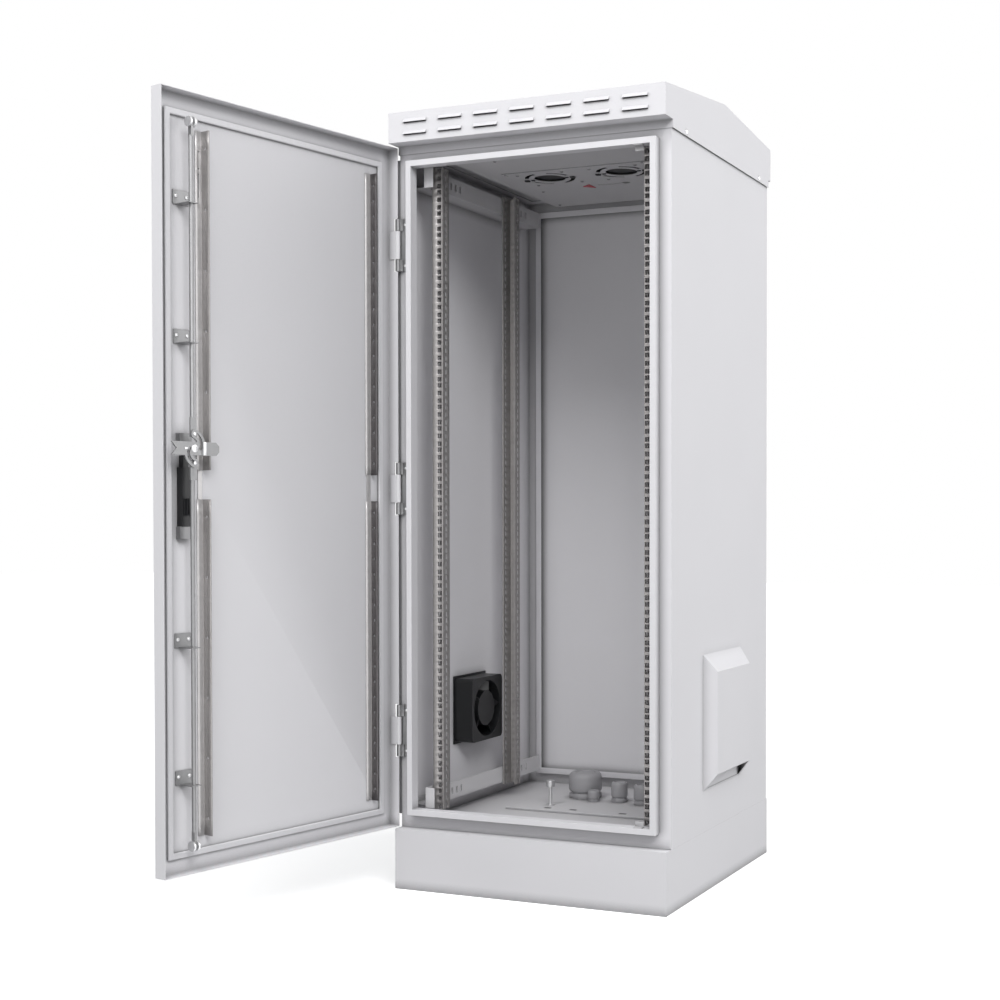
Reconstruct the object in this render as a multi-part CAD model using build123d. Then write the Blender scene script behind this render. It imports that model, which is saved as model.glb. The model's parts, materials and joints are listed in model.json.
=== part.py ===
from build123d import *
import math
import os

# Roadside utility cabinet on its plinth, with the front door standing open.
# X runs along the front, Y towards the back and Z up. While the pieces are drawn, Y = 0 is the
# body's front plane and the door is shut. The saved parts have their origin at the middle of the
# plinth's underside, with the door turned open. All lengths are in millimetres.

# Body and plinth
BODY_WIDTH = 600.0
BODY_DEPTH = 600.0
BODY_HEIGHT = 1395.0
BODY_SHEET = 1.5
FRAME_WIDTH = 26.5
PLINTH_HEIGHT = 124.0
PLINTH_FRONT_STEP = 27.5
PLINTH_BACK_STEP = 5.0
PLINTH_SHEET = 2.5
PLINTH_FOOT_WIDTH = 45.0
PLINTH_LEDGE_WIDTH = 42.0
ANCHOR_HOLE_DIAMETER = 14.0

# Gutter frame round the doorway
GUTTER_DEPTH = 22.0
GUTTER_WIDTH = 12.0
GUTTER_INNER_REACH = 3.0
GUTTER_SILL = 28.8
GUTTER_HEAD = 24.5
GUTTER_SHEET = 1.2

# Roof canopy
ROOF_SIDE_GAP = 1.9
ROOF_SHEET = 1.5
ROOF_FRONT_REACH = 41.2
ROOF_BACK_REACH = 14.5
ROOF_LIP_RISE = 9.0
ROOF_FASCIA_HEIGHT = 61.4
ROOF_RIDGE_RISE = 38.1
ROOF_BACK_HEIGHT = 71.0
ROOF_SKIRT_DROP = 16.0
LOUVRE_COLUMNS = 7
LOUVRE_ROWS = 2
LOUVRE_WIDTH = 53.5
LOUVRE_PITCH = 80.4
LOUVRE_ROW_PITCH = 24.5
LOUVRE_LOWEST = 14.5
LOUVRE_HEIGHT = 9.5
LOUVRE_PROJECTION = 4.5
LOUVRE_SHEET = 1.0
ROOF_POST_SIZE = 24.0
ROOF_POST_INSET = 70.0

# Rear panel
REAR_REBATE_DEPTH = 12.0
REAR_REBATE_WIDTH = 12.0
REAR_PANEL_GAP = 1.0

# Top panel, ceiling tray and fan plate
TOP_PANEL_INSET = 4.0
TOP_PANEL_FOLD = 8.0
CEILING_DROP = 19.0
CEILING_WIDTH = 420.0
CEILING_GAP = 1.0
FAN_PLATE_WIDTH = 328.0
FAN_PLATE_DEPTH = 200.0
FAN_PLATE_FRONT = 190.0
FAN_PLATE_MARGIN = 9.0
CABLE_SLIT_LEFT = -15.0
CABLE_SLIT_LENGTH = 69.0
CABLE_SLIT_WIDTH = 3.0
CABLE_SLIT_Y = 365.0

# Roof fans
ROOF_FAN_OFFSET = 84.0
ROOF_FAN_Y = 264.0
ROOF_FAN_SIZE = 119.0
ROOF_FAN_DEPTH = 25.4
ROOF_FAN_BORE = 112.0
ROOF_FAN_HUB = 68.0
FINGER_HOLE_RADIUS = 34.0
FINGER_SLOT_RADIUS = 50.0
FINGER_SLOT_WIDTH = 9.0
FINGER_SLOT_COUNT = 4
FINGER_SLOT_SWEEP = 66.0
FINGER_SLOT_STEPS = 5
FINGER_HOLE_SIDES = 24
MARKER_LENGTH = 23.0
MARKER_WIDTH = 36.0
MARKER_SHEET = 1.0
MARKER_TIP_X = -52.0
MARKER_Y = 369.0

# Fans in general
FAN_BLADES = 5
FAN_BLADE_THICKNESS = 1.6
FAN_BLADE_PITCH = 38.0
FAN_TIP_GAP = 1.5
FAN_AXLE_RADIUS = 4.0
FAN_WALL = 3.0
FAN_STRUT_WIDTH = 7.0
FAN_BASE_THICKNESS = 4.0
FAN_BORE_SIDES = 32
FAN_HUB_SIDES = 24
RUNNING_GAP = 0.05

# Side fan on the left wall
SIDE_FAN_Y = 291.0
SIDE_FAN_Z = 340.0
SIDE_FAN_SIZE = 141.0
SIDE_FAN_DEPTH = 44.0
SIDE_FAN_BORE = 124.0
SIDE_FAN_HUB = 78.0
SIDE_FAN_PLATE = 150.0
SIDE_FAN_PLATE_SHEET = 2.0

# Side hoods
HOOD_BASE_FRONT = 178.0
HOOD_BASE_BACK = 412.0
HOOD_BASE_BOTTOM = 208.0
HOOD_BASE_TOP = 487.0
HOOD_BEVEL_SIDE = 13.5
HOOD_BEVEL_END = 35.0
HOOD_REACH = 27.0
HOOD_SHEET = 1.5
FILTER_OPENING = 170.0
FILTER_BORDER = 20.0
FILTER_DEPTH = 8.0
FILTER_BARS = 4
FILTER_BAR_WIDTH = 5.0

# Floor and cable entries
FLOOR_SHEET = 1.5
FLOOR_GAP = 1.0
FLOOR_HOLE_FRONT = 255.0
FLOOR_HOLE_BACK_MARGIN = 50.0
FLOOR_HOLE_HALF_WIDTH = 170.0
GLAND_PLATE_SHEET = 2.0
GLAND_PLATE_BORDER = 13.0
GLAND_SLOT_LENGTH = 17.0
GLAND_SLOT_WIDTH = 12.0
GLAND_SLOT_Y = 280.0
GLAND_SLOT_XS = (-98.5, -37.5, 79.5)
GLAND_GAP = 0.2
LARGE_GLAND = (-75.0, 430.0, 75.0, 59.0)
SMALL_GLAND = (-38.0, 393.0, 27.0, 25.0)
MEDIUM_GLANDS = ((18.0, 408.0, 37.0, 45.0), (78.5, 394.0, 37.0, 45.0))
GLAND_SIDES = 12
GLAND_THREAD_SHARE = 0.36
GLAND_COLLAR_SHARE = 0.4
GLAND_FOOT_SHARE = 0.44
GLAND_CROWN_SHARE = 0.34
GLAND_FOOT_RISE = 0.2
GLAND_CAP_RISE = 0.45
GLAND_CROWN_RISE = 0.78
GLAND_THREAD_DROP = 0.2
GLAND_NUT_DROP = 0.15
EARTH_STUD = (-106.0, 310.0)
EARTH_STUD_HEIGHT = 55.0
EARTH_STUD_RADIUS = 4.0
EARTH_CAP_DIAMETER = 18.0
EARTH_CAP_HEIGHT = 14.0
EARTH_WASHER = 3.0

# Nineteen-inch rack rails with three square holes in each unit
RACK_UNIT = 44.45
RACK_HOLE_STEP = 15.875
RACK_HOLE_SIZE = 9.5
RACK_HOLE_SPACING = 465.1
RACK_HOLE_INSET = 7.55
RAIL_FLANGE = 25.0
RAIL_SHEET = 2.0
RAIL_FOOT = 33.0
RAIL_HEAD = 28.4
FRONT_RAIL_Y = 42.0
REAR_RAIL_MARGIN = 200.0
RAIL_INNER_DEPTH = 28.0
RAIL_OUTER_DEPTH = 40.0

# Depth rails that carry the rack rails
DEPTH_RAIL_SHEET = 2.0
DEPTH_RAIL_HEIGHT = 36.0
DEPTH_RAIL_FRONT = 14.0
DEPTH_RAIL_BACK_MARGIN = 50.0
DEPTH_RAIL_FOOT = 39.0
DEPTH_RAIL_HEAD = 32.5
DEPTH_RAIL_WALL_FLANGE = 12.0
DEPTH_RAIL_TAB_HEIGHT = 42.0
DEPTH_RAIL_TAB_WIDTH = 19.0
DEPTH_SLOT_WIDTH = 7.0
DEPTH_SLOT_HEIGHT = 14.0
DEPTH_SLOT_YS = (125.0, 145.0, 165.0, 455.0, 480.0)
SCREW_RADIUS = 5.0
SCREW_HEAD = 3.0
SCREW_SIDES = 6

# Door
DOOR_SIDE_MARGIN = 0.7
DOOR_DEPTH = 26.8
DOOR_BACK_GAP = 2.8
DOOR_FOOT_GAP = 2.0
DOOR_HEAD_REACH = 5.5
DOOR_SHEET = 1.5
DOOR_OPEN_ANGLE = 102.24
GASKET_WIDTH = 12.0
GASKET_PRELOAD = 0.3

# Hinges
HINGE_AXIS_OUT = 2.35
HINGE_AXIS_FRONT = 5.89
HINGE_INSET = 198.0
HINGE_HEIGHT = 107.0
HINGE_BARREL_RADIUS = 5.5
HINGE_PIN_RADIUS = 3.0
HINGE_OUTER_KNUCKLE = 24.0
HINGE_KNUCKLE_GAP = 0.75
HINGE_PLATE_SHEET = 2.0
HINGE_PLATE_REACH = 16.0
HINGE_NOTCH_GAP = 1.5
HINGE_LEAF_LENGTH = 17.0
SMALL_ROUND_SIDES = 12

# Door stiffeners
STIFFENER_SHEET = 1.3
STIFFENER_INSET = 60.0
STIFFENER_BREAK = 53.0
STIFFENER_FREE_INSET = 109.7
STIFFENER_FREE_FLANGE = 15.0
STIFFENER_FREE_DEPTH = 22.2
STIFFENER_HINGE_INSET = 54.9
STIFFENER_HINGE_FLANGE = 16.0
STIFFENER_HINGE_DEPTH = 18.2
JOINER_WIDTH = 10.0

# Lock, rods and rollers
LOCK_INSET = 61.65
LOCK_ABOVE_MIDDLE = 63.75
SPINDLE_RADIUS = 5.0
SPINDLE_SQUARE = 8.0
ROUND_BAR_SIDES = 16
CAM_SHEET = 3.0
CAM_PLANE = 5.6
CAM_ARM_HEIGHT = 24.0
CAM_TONGUE = 51.5
CAM_BACK_ARM = 55.0
CAM_NOTCH = 11.0
CAM_END_CHAMFER = 7.0
CAM_SLOT_FAR = 26.0
ROD_STROKE = 14.0
CAM_TURN = 90.0
CAM_SLOT_STEPS = 8
CAM_SLOT_STARTS = (90.0, -90.0)
CAM_SLOT_MARGIN = 8.0
CAM_PIN_RADIUS = 2.9
CAM_PIN_GAP = 0.3
ROD_RADIUS = 4.0
ROD_CAM_GAP = 0.5
ROD_TAB_WIDTH = 14.0
ROD_TAB_SHEET = 3.0
ROD_TAB_LENGTH = 30.0
ROD_TAB_END = 5.0
ROD_FLAT_WIDTH = 5.0
ROD_FLAT_LENGTH = 26.0
ROLLER_RADIUS = 9.5
ROLLER_DISC = 4.0
ROLLER_SIDES = 24
ROLLER_SIDE_GAP = 0.4
ROLLER_AXLE_RADIUS = 2.5
ROLLER_LIP_GAP = 3.0
KEEPER_SHEET = 1.6
KEEPER_WIDTH = 18.0
KEEPER_REACH = 11.0
KEEPER_GAP = 1.0
GUIDE_INSETS_LOW = (172.0, 419.0)
GUIDE_INSETS_HIGH = (434.5, 186.5)
GUIDE_WIDTH = 36.0
GUIDE_HEIGHT = 26.0
GUIDE_SHEET = 2.0
GUIDE_TAB_WIDTH = 20.0
GUIDE_END = 8.0
GUIDE_GAP = 0.1
GUIDE_SCREW_SPACING = 24.0
GUIDE_SCREW_RADIUS = 3.0
GUIDE_SCREW_HEAD = 2.0
LOCK_BODY_WIDTH = 22.0
LOCK_BODY_DEPTH = 14.0
LOCK_BODY_LOW = 139.0
LOCK_BODY_HIGH = 33.0
LOCK_BUMP_LOW = 119.0
LOCK_BUMP_HEIGHT = 30.0
LOCK_BUMP_REACH = 8.0
LOCK_NECK_WIDTH = 12.0
LOCK_NECK_HEIGHT = 21.0
CLAMP_WIDTH = 26.0
UPPER_CLAMP_LOW = 10.0
UPPER_CLAMP_HEIGHT = 18.0
LOWER_CLAMP_HEIGHT = 23.0
CLAMP_DEPTH = 12.0
ESCUTCHEON_WIDTH = 46.0
ESCUTCHEON_SHEET = 1.5
LEVER_LENGTH = 140.0
LEVER_THICKNESS = 10.0
LEVER_CHEEK = 3.0
LEVER_GAP = 0.3
LEVER_PROUD = 0.5
LEVER_THROAT = 11.0
LEVER_HEAD_SIZE = 14.0
LEVER_PIN_RADIUS = 2.0

# Places worked out from the driving dimensions
HALF_WIDTH = BODY_WIDTH / 2
BODY_BOTTOM = PLINTH_HEIGHT
BODY_TOP = BODY_BOTTOM + BODY_HEIGHT
INNER_HALF = HALF_WIDTH - BODY_SHEET
PLINTH_FRONT = -PLINTH_FRONT_STEP
PLINTH_BACK = BODY_DEPTH + PLINTH_BACK_STEP
PLINTH_MIDDLE_Y = (PLINTH_FRONT + PLINTH_BACK) / 2
DOORWAY_HALF = HALF_WIDTH - FRAME_WIDTH
GUTTER_OUTER_HALF = DOORWAY_HALF + BODY_SHEET
GUTTER_INNER_HALF = GUTTER_OUTER_HALF - GUTTER_WIDTH
GUTTER_LOW = BODY_BOTTOM + GUTTER_SILL
GUTTER_HIGH = BODY_TOP - GUTTER_HEAD
LIP_LOW = GUTTER_LOW + GUTTER_WIDTH
LIP_HIGH = GUTTER_HIGH - GUTTER_WIDTH
ROOF_HALF = HALF_WIDTH + ROOF_SIDE_GAP + ROOF_SHEET
ROOF_LIP_Z = BODY_TOP + ROOF_LIP_RISE
FASCIA_Y = -ROOF_FRONT_REACH
ROOF_BACK_Y = BODY_DEPTH + ROOF_BACK_REACH
TOP_PANEL_Z = BODY_TOP + BODY_SHEET
CEILING_Z = BODY_TOP - CEILING_DROP
CEILING_FRONT = FRAME_WIDTH + CEILING_GAP
CEILING_BACK = BODY_DEPTH - FRAME_WIDTH - REAR_REBATE_DEPTH - CEILING_GAP
FLOOR_Z = BODY_BOTTOM + BODY_SHEET
FLOOR_TOP = FLOOR_Z + FLOOR_SHEET
GLAND_PLATE_TOP = FLOOR_TOP + GLAND_PLATE_SHEET
HINGE_X = -HALF_WIDTH - HINGE_AXIS_OUT
HINGE_Y = -HINGE_AXIS_FRONT
DOOR_HALF = HALF_WIDTH - DOOR_SIDE_MARGIN
DOOR_BACK = -DOOR_BACK_GAP
DOOR_FRONT = DOOR_BACK - DOOR_DEPTH
DOOR_SKIN = DOOR_FRONT + DOOR_SHEET
DOOR_LOW = BODY_BOTTOM + DOOR_FOOT_GAP
DOOR_HIGH = BODY_TOP + DOOR_HEAD_REACH
DOOR_MIDDLE = (DOOR_LOW + DOOR_HIGH) / 2
HINGE_HEIGHTS = (DOOR_LOW + HINGE_INSET, DOOR_MIDDLE, DOOR_HIGH - HINGE_INSET)
STIFFENER_SPANS = {
    "lower": (DOOR_LOW + STIFFENER_INSET, DOOR_MIDDLE - STIFFENER_BREAK / 2),
    "upper": (DOOR_MIDDLE + STIFFENER_BREAK / 2, DOOR_HIGH - STIFFENER_INSET),
}
GUIDE_HEIGHTS = (
    *[DOOR_LOW + inset for inset in GUIDE_INSETS_LOW],
    *[DOOR_HIGH - inset for inset in GUIDE_INSETS_HIGH],
)
LOCK_X = DOOR_HALF - LOCK_INSET
LOCK_Z = DOOR_MIDDLE + LOCK_ABOVE_MIDDLE
ROD_TAB_BACK = CAM_PLANE - ROD_CAM_GAP
ROD_Y = ROD_TAB_BACK - ROD_RADIUS
ROLLER_HIGH_Z = LIP_HIGH - ROLLER_LIP_GAP - ROLLER_RADIUS
ROLLER_LOW_Z = LIP_LOW + ROLLER_LIP_GAP + ROLLER_RADIUS
FLOOR_HOLE_BACK = BODY_DEPTH - FLOOR_HOLE_BACK_MARGIN
RAIL_BOTTOM = BODY_BOTTOM + RAIL_FOOT
RAIL_TOP = BODY_TOP - RAIL_HEAD
RACK_UNITS = int((RAIL_TOP - RAIL_BOTTOM) // RACK_UNIT)
REAR_RAIL_Y = BODY_DEPTH - REAR_RAIL_MARGIN
DEPTH_RAIL_LOW = BODY_BOTTOM + DEPTH_RAIL_FOOT
DEPTH_RAIL_HIGH = BODY_TOP - DEPTH_RAIL_HEAD - DEPTH_RAIL_HEIGHT
DEPTH_RAIL_BACK = BODY_DEPTH - DEPTH_RAIL_BACK_MARGIN
RAIL_OUTER = RACK_HOLE_SPACING / 2 - RACK_HOLE_INSET + RAIL_FLANGE
LEVER_Y = DOOR_FRONT - ESCUTCHEON_SHEET - LEVER_PROUD - LEVER_THICKNESS / 2


def block(x_range, y_range, z_range):
    """Cuboid between the two values given for each axis."""
    spans = (x_range, y_range, z_range)
    middle = [(low + high) / 2 for low, high in spans]
    sizes = [abs(high - low) for low, high in spans]
    return Pos(*middle) * Box(*sizes)


def rod(start, end, radius):
    """Round bar between two points."""
    axis = Vector(*end) - Vector(*start)
    plane = Plane(origin=start, z_dir=axis)
    return extrude(plane * Circle(radius), amount=axis.length)


def bar(start, end, radius, sides, round_inside=False):
    """Many-sided bar between two points, drawn inside the radius or, for a hole, round it."""
    axis = Vector(*end) - Vector(*start)
    plane = Plane(origin=start, z_dir=axis)
    section = RegularPolygon(radius, sides, major_radius=not round_inside)
    return extrude(plane * section, amount=axis.length)


def union(shapes):
    """One solid made of touching or overlapping shapes."""
    shapes = list(shapes)
    return shapes[0].fuse(*shapes[1:]).clean() if len(shapes) > 1 else shapes[0]


def cut(shape, tools):
    """Shape with a list of tools taken away in one step."""
    tools = list(tools)
    return shape.cut(*tools) if tools else shape


def group(shapes):
    """Loose pieces of one kind kept together."""
    return Compound(children=[piece for shape in shapes for piece in shape.solids()])


def both_sides(shape):
    """The shape and its mirror image across the cabinet's middle."""
    return [shape, mirror(shape, Plane.YZ)]


def folded_sheet(path, sheet):
    """Face of a sheet folded along a path, lying on the left of the path."""
    points = [Vector(*point) for point in path]
    runs = [(end - start).normalized() for start, end in zip(points, points[1:])]
    lefts = [Vector(-run.Y, run.X) * sheet for run in runs]
    inside = [points[0] + lefts[0]]
    for point, before, after in zip(points[1:], lefts, lefts[1:]):
        mitre = sheet ** 2 / (sheet ** 2 + before.dot(after))
        inside.append(point + (before + after) * mitre)
    inside.append(points[-1] + lefts[-1])
    return make_face(Polyline(*points, *reversed(inside), close=True))


def upright_fold(path, sheet, low, high):
    """Folded sheet standing upright, its path drawn in plan."""
    return extrude(Pos(0, 0, low) * folded_sheet(path, sheet), amount=high - low, dir=(0, 0, 1))


def lengthwise_fold(path, sheet, front, back):
    """Folded sheet running along Y, its path drawn in X and Z."""
    face = Plane.XZ * folded_sheet(path, sheet)
    return extrude(Pos(0, front, 0) * face, amount=back - front, dir=(0, 1, 0))


# Plinth and body

def plinth():
    half = HALF_WIDTH
    outer = block((-half, half), (PLINTH_FRONT, PLINTH_BACK), (0, PLINTH_HEIGHT))
    wall = PLINTH_SHEET
    hollow = block(
        (-half + wall, half - wall),
        (PLINTH_FRONT + wall, PLINTH_BACK - wall),
        (wall, PLINTH_HEIGHT - wall),
    )
    foot, ledge = PLINTH_FOOT_WIDTH, PLINTH_LEDGE_WIDTH
    foot_hole = block(
        (-half + foot, half - foot),
        (PLINTH_FRONT + foot, PLINTH_BACK - foot),
        (-wall, 2 * wall),
    )
    top_hole = block(
        (-half + ledge, half - ledge),
        (ledge, PLINTH_BACK - ledge),
        (PLINTH_HEIGHT - 2 * wall, PLINTH_HEIGHT + wall),
    )
    anchors = []
    inset = foot / 2
    for x in (-half + inset, half - inset):
        for y in (PLINTH_FRONT + inset, PLINTH_BACK - inset):
            anchors.append(rod((x, y, -wall), (x, y, 2 * wall), ANCHOR_HOLE_DIAMETER / 2))
    return cut(outer, [hollow, foot_hole, top_hole, *anchors])


def body_shell():
    outer = block((-HALF_WIDTH, HALF_WIDTH), (0, BODY_DEPTH), (BODY_BOTTOM, BODY_TOP))
    hollow = block(
        (-INNER_HALF, INNER_HALF),
        (BODY_SHEET, BODY_DEPTH - BODY_SHEET),
        (BODY_BOTTOM + BODY_SHEET, BODY_TOP - BODY_SHEET),
    )
    doorway = block(
        (-DOORWAY_HALF, DOORWAY_HALF),
        (-BODY_SHEET, 2 * BODY_SHEET),
        (GUTTER_LOW + BODY_SHEET, GUTTER_HIGH - BODY_SHEET),
    )
    rear_low, rear_high = BODY_BOTTOM + FRAME_WIDTH, BODY_TOP - FRAME_WIDTH
    rear_hole = block(
        (-DOORWAY_HALF, DOORWAY_HALF),
        (BODY_DEPTH - 2 * BODY_SHEET, BODY_DEPTH + BODY_SHEET),
        (rear_low, rear_high),
    )
    level_hole = block(
        (-DOORWAY_HALF, DOORWAY_HALF),
        (FRAME_WIDTH, BODY_DEPTH - FRAME_WIDTH - REAR_REBATE_DEPTH),
        (BODY_BOTTOM - BODY_SHEET, BODY_TOP + BODY_SHEET),
    )
    fan_hole = bar(
        (-HALF_WIDTH - BODY_SHEET, SIDE_FAN_Y, SIDE_FAN_Z),
        (-INNER_HALF + BODY_SHEET, SIDE_FAN_Y, SIDE_FAN_Z),
        SIDE_FAN_BORE / 2,
        FAN_BORE_SIDES,
    )
    half_opening = FILTER_OPENING / 2
    middle_y, middle_z = hood_middle()
    filter_hole = block(
        (INNER_HALF - BODY_SHEET, HALF_WIDTH + BODY_SHEET),
        (middle_y - half_opening, middle_y + half_opening),
        (middle_z - half_opening, middle_z + half_opening),
    )
    shell = cut(outer, [hollow, doorway, rear_hole, level_hole, fan_hole, filter_hole])
    return union([shell, rear_rebate(rear_low, rear_high)])


def rear_rebate(low, high):
    """Step behind the rear opening on which the rear panel's folded edge rests."""
    sheet, step = BODY_SHEET, REAR_REBATE_WIDTH
    ledge_back = BODY_DEPTH - sheet - REAR_REBATE_DEPTH
    ring = block(
        (-DOORWAY_HALF - sheet, DOORWAY_HALF + sheet),
        (ledge_back - sheet, BODY_DEPTH),
        (low - sheet, high + sheet),
    )
    room = block((-DOORWAY_HALF, DOORWAY_HALF), (ledge_back, BODY_DEPTH + sheet), (low, high))
    way_through = block(
        (-DOORWAY_HALF + step, DOORWAY_HALF - step),
        (ledge_back - 2 * sheet, BODY_DEPTH),
        (low + step, high - step),
    )
    return cut(ring, [room, way_through])


def gutter_frame():
    """Channel round the doorway, open towards the back."""
    sheet = GUTTER_SHEET
    outer = block(
        (-GUTTER_OUTER_HALF, GUTTER_OUTER_HALF), (-GUTTER_DEPTH, 0), (GUTTER_LOW, GUTTER_HIGH)
    )
    inner_wall = block(
        (-GUTTER_INNER_HALF - sheet, GUTTER_INNER_HALF + sheet),
        (-GUTTER_DEPTH, GUTTER_INNER_REACH),
        (LIP_LOW - sheet, LIP_HIGH + sheet),
    )
    trough = cut(
        block(
            (-GUTTER_OUTER_HALF + sheet, GUTTER_OUTER_HALF - sheet),
            (-GUTTER_DEPTH + sheet, sheet),
            (GUTTER_LOW + sheet, GUTTER_HIGH - sheet),
        ),
        [inner_wall],
    )
    way_through = block(
        (-GUTTER_INNER_HALF, GUTTER_INNER_HALF),
        (-GUTTER_DEPTH - sheet, GUTTER_INNER_REACH + sheet),
        (LIP_LOW, LIP_HIGH),
    )
    return cut(union([outer, inner_wall]), [trough, way_through])


def rear_panel():
    half = DOORWAY_HALF - REAR_PANEL_GAP
    low = BODY_BOTTOM + FRAME_WIDTH + REAR_PANEL_GAP
    high = BODY_TOP - FRAME_WIDTH - REAR_PANEL_GAP
    front = BODY_DEPTH - BODY_SHEET - REAR_REBATE_DEPTH
    tray = block((-half, half), (front, BODY_DEPTH), (low, high))
    inside = block(
        (-half + BODY_SHEET, half - BODY_SHEET),
        (front - BODY_SHEET, BODY_DEPTH - BODY_SHEET),
        (low + BODY_SHEET, high - BODY_SHEET),
    )
    return cut(tray, [inside])


# Roof

def roof_profile(inset):
    """Gable outline seen from the side, drawn in by the sheet's thickness."""
    fascia_top = ROOF_LIP_Z + ROOF_FASCIA_HEIGHT
    points = [
        (FASCIA_Y, ROOF_LIP_Z),
        (FASCIA_Y, fascia_top),
        (BODY_DEPTH / 2, fascia_top + ROOF_RIDGE_RISE),
        (ROOF_BACK_Y, ROOF_LIP_Z + ROOF_BACK_HEIGHT),
        (ROOF_BACK_Y, ROOF_LIP_Z),
    ]
    face = make_face(Polyline(*points, close=True))
    return offset(face, -inset, kind=Kind.INTERSECTION) if inset else face


def roof_volume(inset):
    """Space under the roof, smaller on every side by the inset."""
    half = ROOF_HALF - inset
    face = Plane.YZ * roof_profile(inset)
    return extrude(Pos(-half, 0, 0) * face, amount=2 * half, dir=(1, 0, 0))


def louvre_places():
    """Middle of each louvre's lower edge on the fascia."""
    places = []
    for row in range(LOUVRE_ROWS):
        for column in range(LOUVRE_COLUMNS):
            x = (column - (LOUVRE_COLUMNS - 1) / 2) * LOUVRE_PITCH
            places.append((x, ROOF_LIP_Z + LOUVRE_LOWEST + row * LOUVRE_ROW_PITCH))
    return places


def louvre_wedge(x, z, inset):
    """Wedge of a pressed louvre that opens downwards."""
    half = LOUVRE_WIDTH / 2 - inset
    reach = LOUVRE_PROJECTION - inset
    points = [
        (FASCIA_Y + ROOF_SHEET, z - inset),
        (FASCIA_Y - reach, z - inset),
        (FASCIA_Y - reach, z + LOUVRE_SHEET),
        (FASCIA_Y + ROOF_SHEET, z + LOUVRE_HEIGHT - inset),
    ]
    face = Plane.YZ * make_face(Polyline(*points, close=True))
    return extrude(Pos(x - half, 0, 0) * face, amount=2 * half, dir=(1, 0, 0))


def roof_canopy():
    """Louvred gable roof, its underside closed in front and folded down over the body's head."""
    low, high = ROOF_LIP_Z - ROOF_SKIRT_DROP, ROOF_LIP_Z + ROOF_SHEET
    inner = ROOF_HALF - ROOF_SHEET
    underside = block(
        (-inner, inner), (0, ROOF_BACK_Y - ROOF_SHEET), (ROOF_LIP_Z - ROOF_SHEET, ROOF_LIP_Z + 2 * ROOF_SHEET)
    )
    skirt = block((inner, ROOF_HALF), (0, BODY_DEPTH), (low, high))
    front_fold = block((-ROOF_HALF, ROOF_HALF), (-ROOF_SHEET, 0), (low, high))
    hoods = [louvre_wedge(x, z, 0) for x, z in louvre_places()]
    outside = union([roof_volume(0), *both_sides(skirt), front_fold, *hoods])
    canopy = cut(outside, [roof_volume(ROOF_SHEET), underside])
    mouths = [louvre_wedge(x, z, LOUVRE_SHEET) for x, z in louvre_places()]
    return cut(canopy, mouths)


def top_panel():
    """Plate over the body's top opening, with a folded rim and four posts under the roof."""
    half = HALF_WIDTH - TOP_PANEL_INSET
    front, back = TOP_PANEL_INSET, BODY_DEPTH - TOP_PANEL_INSET
    tray = block((-half, half), (front, back), (BODY_TOP, BODY_TOP + TOP_PANEL_FOLD))
    inside = block(
        (-half + BODY_SHEET, half - BODY_SHEET),
        (front + BODY_SHEET, back - BODY_SHEET),
        (TOP_PANEL_Z, BODY_TOP + 2 * TOP_PANEL_FOLD),
    )
    fan_hole = block(
        (-FAN_PLATE_WIDTH / 2, FAN_PLATE_WIDTH / 2),
        (FAN_PLATE_FRONT, FAN_PLATE_FRONT + FAN_PLATE_DEPTH),
        (BODY_TOP - BODY_SHEET, BODY_TOP + 2 * BODY_SHEET),
    )
    roof_space = roof_volume(ROOF_SHEET)
    x, half_post = HALF_WIDTH - ROOF_POST_INSET, ROOF_POST_SIZE / 2
    span_x = (x - half_post, x + half_post)
    posts = []
    for y in (ROOF_POST_INSET, BODY_DEPTH - ROOF_POST_INSET):
        span_y = (y - half_post, y + half_post)
        lower = block(span_x, span_y, (BODY_TOP, ROOF_LIP_Z + 3 * ROOF_SHEET))
        upper = block(span_x, span_y, (ROOF_LIP_Z + 2 * ROOF_SHEET, ROOF_LIP_Z + BODY_HEIGHT))
        posts += both_sides(union([lower, upper & roof_space]))
    return union([cut(tray, [inside, fan_hole]), *posts])


# Ceiling, fans and their plates

def ceiling_tray():
    half = CEILING_WIDTH / 2
    tray = block((-half, half), (CEILING_FRONT, CEILING_BACK), (CEILING_Z, BODY_TOP))
    inside = block(
        (-half + BODY_SHEET, half - BODY_SHEET),
        (CEILING_FRONT + BODY_SHEET, CEILING_BACK - BODY_SHEET),
        (CEILING_Z + BODY_SHEET, BODY_TOP + BODY_SHEET),
    )
    margin = FAN_PLATE_MARGIN
    fan_hole = block(
        (-FAN_PLATE_WIDTH / 2 + margin, FAN_PLATE_WIDTH / 2 - margin),
        (FAN_PLATE_FRONT + margin, FAN_PLATE_FRONT + FAN_PLATE_DEPTH - margin),
        (CEILING_Z - BODY_SHEET, CEILING_Z + 2 * BODY_SHEET),
    )
    return cut(tray, [inside, fan_hole])


def finger_guard(x, y, low, high):
    """Cutters for the middle hole and the ring of curved slots under a fan."""
    cutters = [bar((x, y, low), (x, y, high), FINGER_HOLE_RADIUS, FINGER_HOLE_SIDES)]
    inner = FINGER_SLOT_RADIUS - FINGER_SLOT_WIDTH / 2
    outer = FINGER_SLOT_RADIUS + FINGER_SLOT_WIDTH / 2
    step = FINGER_SLOT_SWEEP / FINGER_SLOT_STEPS
    for index in range(FINGER_SLOT_COUNT):
        start = 360 / FINGER_SLOT_COUNT * index - FINGER_SLOT_SWEEP / 2
        turns = [math.radians(start + step * number) for number in range(FINGER_SLOT_STEPS + 1)]
        outline = [(outer * math.cos(turn), outer * math.sin(turn)) for turn in turns]
        outline += [(inner * math.cos(turn), inner * math.sin(turn)) for turn in reversed(turns)]
        face = Pos(x, y, low) * make_face(Polyline(*outline, close=True))
        cutters.append(extrude(face, amount=high - low, dir=(0, 0, 1)))
    return cutters


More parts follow.
